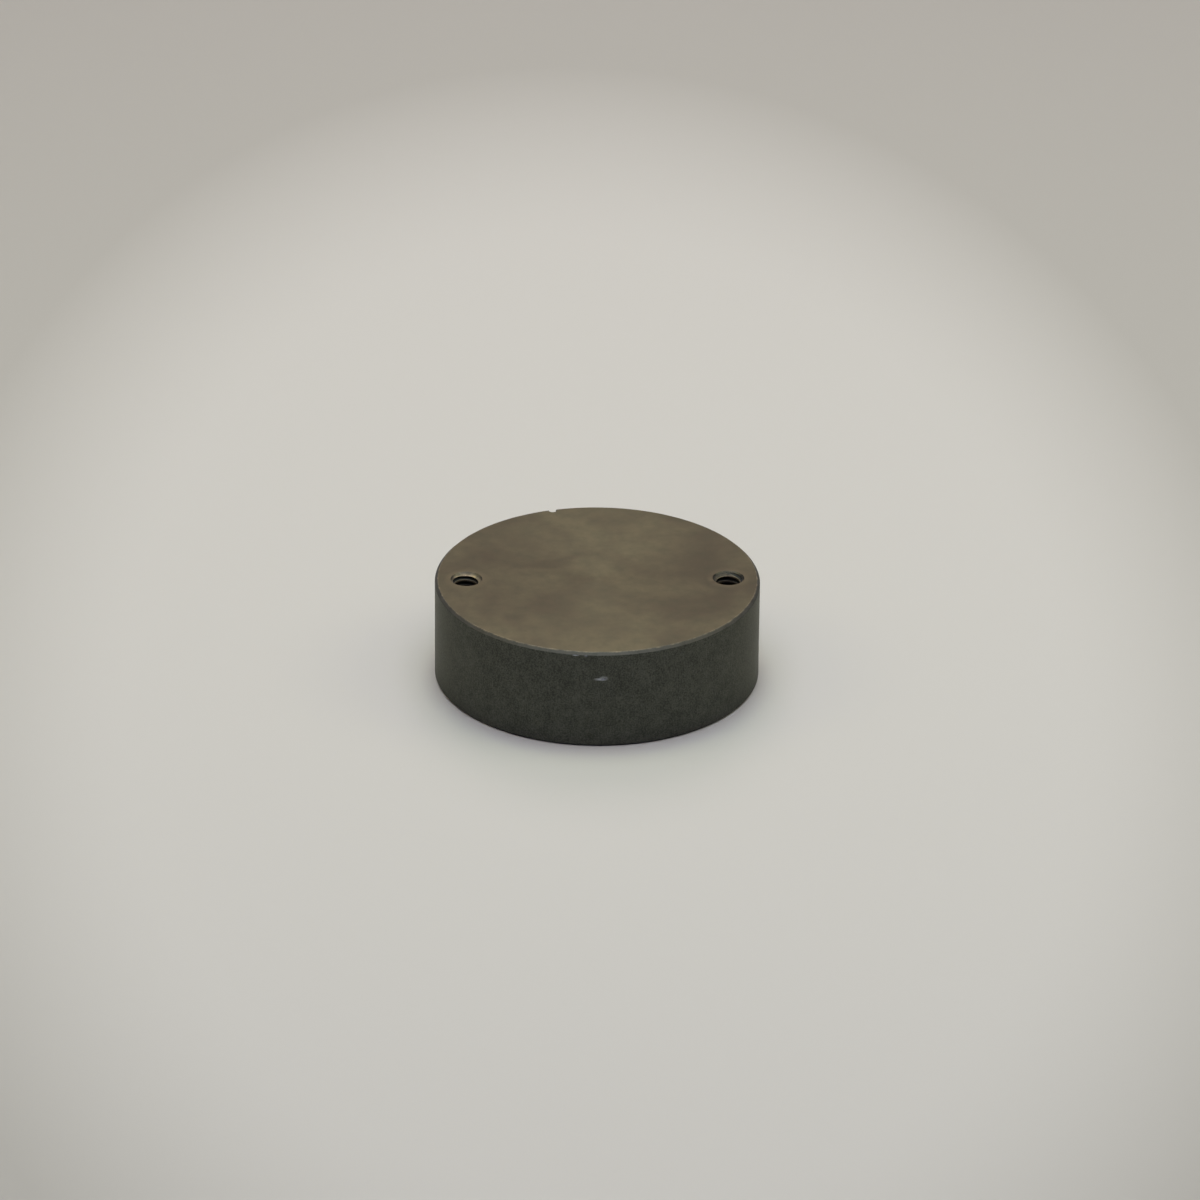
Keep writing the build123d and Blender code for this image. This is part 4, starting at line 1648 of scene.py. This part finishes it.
@dataclass
class Valve:
    """Lapped valve head, its backing washer and the rivet through the leaves."""

    head: Room = field(default_factory=lambda: Room.of("valve_head"))
    washer: Room = field(default_factory=lambda: Room.of("backing_washer"))
    rivet: Room = field(default_factory=lambda: Room.of("valve_rivet"))
    shank: float = 1.0
    recess: float = 0.7

    def build(self) -> None:
        """Turn the three pieces."""
        low, high, r = self.head.low, self.head.high, self.head.radius
        head = [
            (0, low + 0.03, 0), (1.7, low, 0.1), (r - 0.3, low, 0.08), (r, low + 0.3, 0.08), (r, low + 1.4, 0.25),
            (2.6, low + 1.6, 0.3), (2.6, high, 0.15), (self.shank, high, 0.05), (self.shank, low + self.recess, 0.05),
            (0, low + self.recess, 0),
        ]
        dress(turned("valve_head_lapped", eased(head, 4), 96), Slot.HARDENED_STAINLESS, Body.VALVE, "valve_head")
        w = self.washer
        flat = [
            (self.shank, w.low, 0.05), (w.radius, w.low, 0.1), (w.radius, w.high, 0.1), (self.shank, w.high, 0.05),
        ]
        dress(
            turned("backing_washer_pressed", eased(flat, 4), 72), Slot.STAINLESS_SHEET, Body.VALVE, "backing_washer"
        )
        low, high, s = self.rivet.low, self.rivet.high, self.shank - 0.01
        upset = [
            (0, low + 0.05, 0), (s, low + 0.05, 0.1), (s, w.high, 0.02), (self.rivet.radius, w.high, 0.08),
            (self.rivet.radius - 0.15, w.high + 0.25, 0.2), (0.8, high - 0.07, 0.4), (0, high, 0),
        ]
        dress(turned("valve_rivet_upset", eased(upset, 5), 48), Slot.STAINLESS_SHEET, Body.VALVE, "valve_rivet")


# ---------------------------------------------------------------------------------------------------------
# Studio
# ---------------------------------------------------------------------------------------------------------
@dataclass(frozen=True)
class SoftBox:
    """One soft box that looks at the trap.

    Attributes:
        name: What it is.
        turn_deg: Where it stands round the trap: 0 in front, 90 on the right.
        height_deg: How high it stands, seen from the trap.
        away: How far from the trap, in millimetres.
        size: Its width and length in millimetres.
        watts: Its power.
        colour: Its colour as sRGB hex.
    """

    name: str
    turn_deg: float
    height_deg: float
    away: float
    size: tuple[float, float]
    watts: float
    colour: str

    def hang(self) -> None:
        """Put the light in its place."""
        data = bpy.data.lights.new(self.name, "AREA")
        data.shape = "RECTANGLE"
        data.size, data.size_y = (side * MM for side in self.size)
        data.energy = self.watts
        data.color = linear(self.colour)[:3]
        turn, height = math.radians(self.turn_deg), math.radians(self.height_deg)
        way = Vector((math.sin(turn) * math.cos(height), -math.cos(turn) * math.cos(height), math.sin(height)))
        light = bpy.data.objects.new(self.name, data)
        light.location = way * self.away * MM
        light.rotation_euler = way.to_track_quat("Z", "Y").to_euler()
        bpy.context.scene.collection.objects.link(light)


@dataclass
class Studio:
    """Pale card, soft lights and the camera."""

    azimuth: float = -1.68
    elevation: float = 27.05
    roll: float = 0.54
    distance: float = 1720.1
    lens: float = 240.0
    aim: tuple[float, float, float] = (0.588, 0.0, 17.02)
    card_size: float = 6000.0
    room_colour: str = "#c5c5ff"
    room_strength: float = 0.09
    boxes: tuple[SoftBox, ...] = (
        SoftBox("ceiling_panel", 0, 88.2, 950, (850, 950), 4.85, "#f5f2ff"),
        SoftBox("overhead_lamp", 0, 90, 950, (250, 250), 1.06, "#b9d7ff"),
        SoftBox("lamp_behind_panel", 180, 80, 950, (250, 250), 1.04, "#e4ff9b"),
        SoftBox("back_box", 180, 45, 1000, (500, 500), 1.56, "#ffebf0"),
        SoftBox("left_box", -90, 45, 1000, (500, 500), 0.69, "#fff2a9"),
        SoftBox("right_box", 90, 45, 1000, (500, 500), 1.03, "#fffbd2"),
    )

    def camera(self) -> None:
        """Stand the camera in front of the trap, looking down at it, a little off level."""
        a, e, roll = (math.radians(value) for value in (self.azimuth, self.elevation, self.roll))
        back = Vector((math.sin(a) * math.cos(e), -math.cos(a) * math.cos(e), math.sin(e)))
        right = Vector((math.cos(a), math.sin(a), 0))
        up = back.cross(right)
        across = math.cos(roll) * right + math.sin(roll) * up
        upward = math.cos(roll) * up - math.sin(roll) * right
        x, y, z = self.aim
        target = Matrix.Rotation(a, 3, "Z") @ Vector((x, y, z))
        data = bpy.data.cameras.new("camera")
        data.lens = self.lens
        data.sensor_width = 36.0
        data.clip_start, data.clip_end = 0.01, 20.0
        camera = bpy.data.objects.new("camera", data)
        axes = Matrix((across, upward, back)).transposed().to_4x4()
        camera.matrix_world = Matrix.Translation((target + back * self.distance) * MM) @ axes
        bpy.context.scene.collection.objects.link(camera)
        bpy.context.scene.camera = camera

    def card(self) -> None:
        """Lay the card that the trap stands on."""
        half = self.card_size / 2
        sheet = mesh_piece(
            "card", [(-half, -half, -0.02), (half, -half, -0.02), (half, half, -0.02), (-half, half, -0.02)],
            [(0, 1, 2, 3)],
        )
        sheet.data.materials.append(CARD.material())

    def sky(self) -> None:
        """Surround everything with the faint cool light of the room."""
        world = bpy.data.worlds.new("room")
        world.use_nodes = True
        tree = world.node_tree
        tree.nodes.clear()
        room = add(tree, "ShaderNodeBackground", {"Color": linear(self.room_colour), "Strength": self.room_strength})
        add(tree, "ShaderNodeOutputWorld", {"Surface": room})
        bpy.context.scene.world = world

    def build(self) -> None:
        """Set everything up."""
        bpy.context.scene.view_settings.view_transform = "Standard"
        self.camera()
        self.card()
        self.sky()
        for box in self.boxes:
            box.hang()


def main() -> None:
    """Build the studio and every sub-assembly."""
    logging.basicConfig(level=logging.INFO, format="%(name)s: %(message)s")
    Studio().build()
    for assembly in (Shell(), Closure(), Strainer(), OutletSeat(), CapsuleMount(), Capsule(), Valve()):
        assembly.build()


if __name__ == "__main__":
    main()
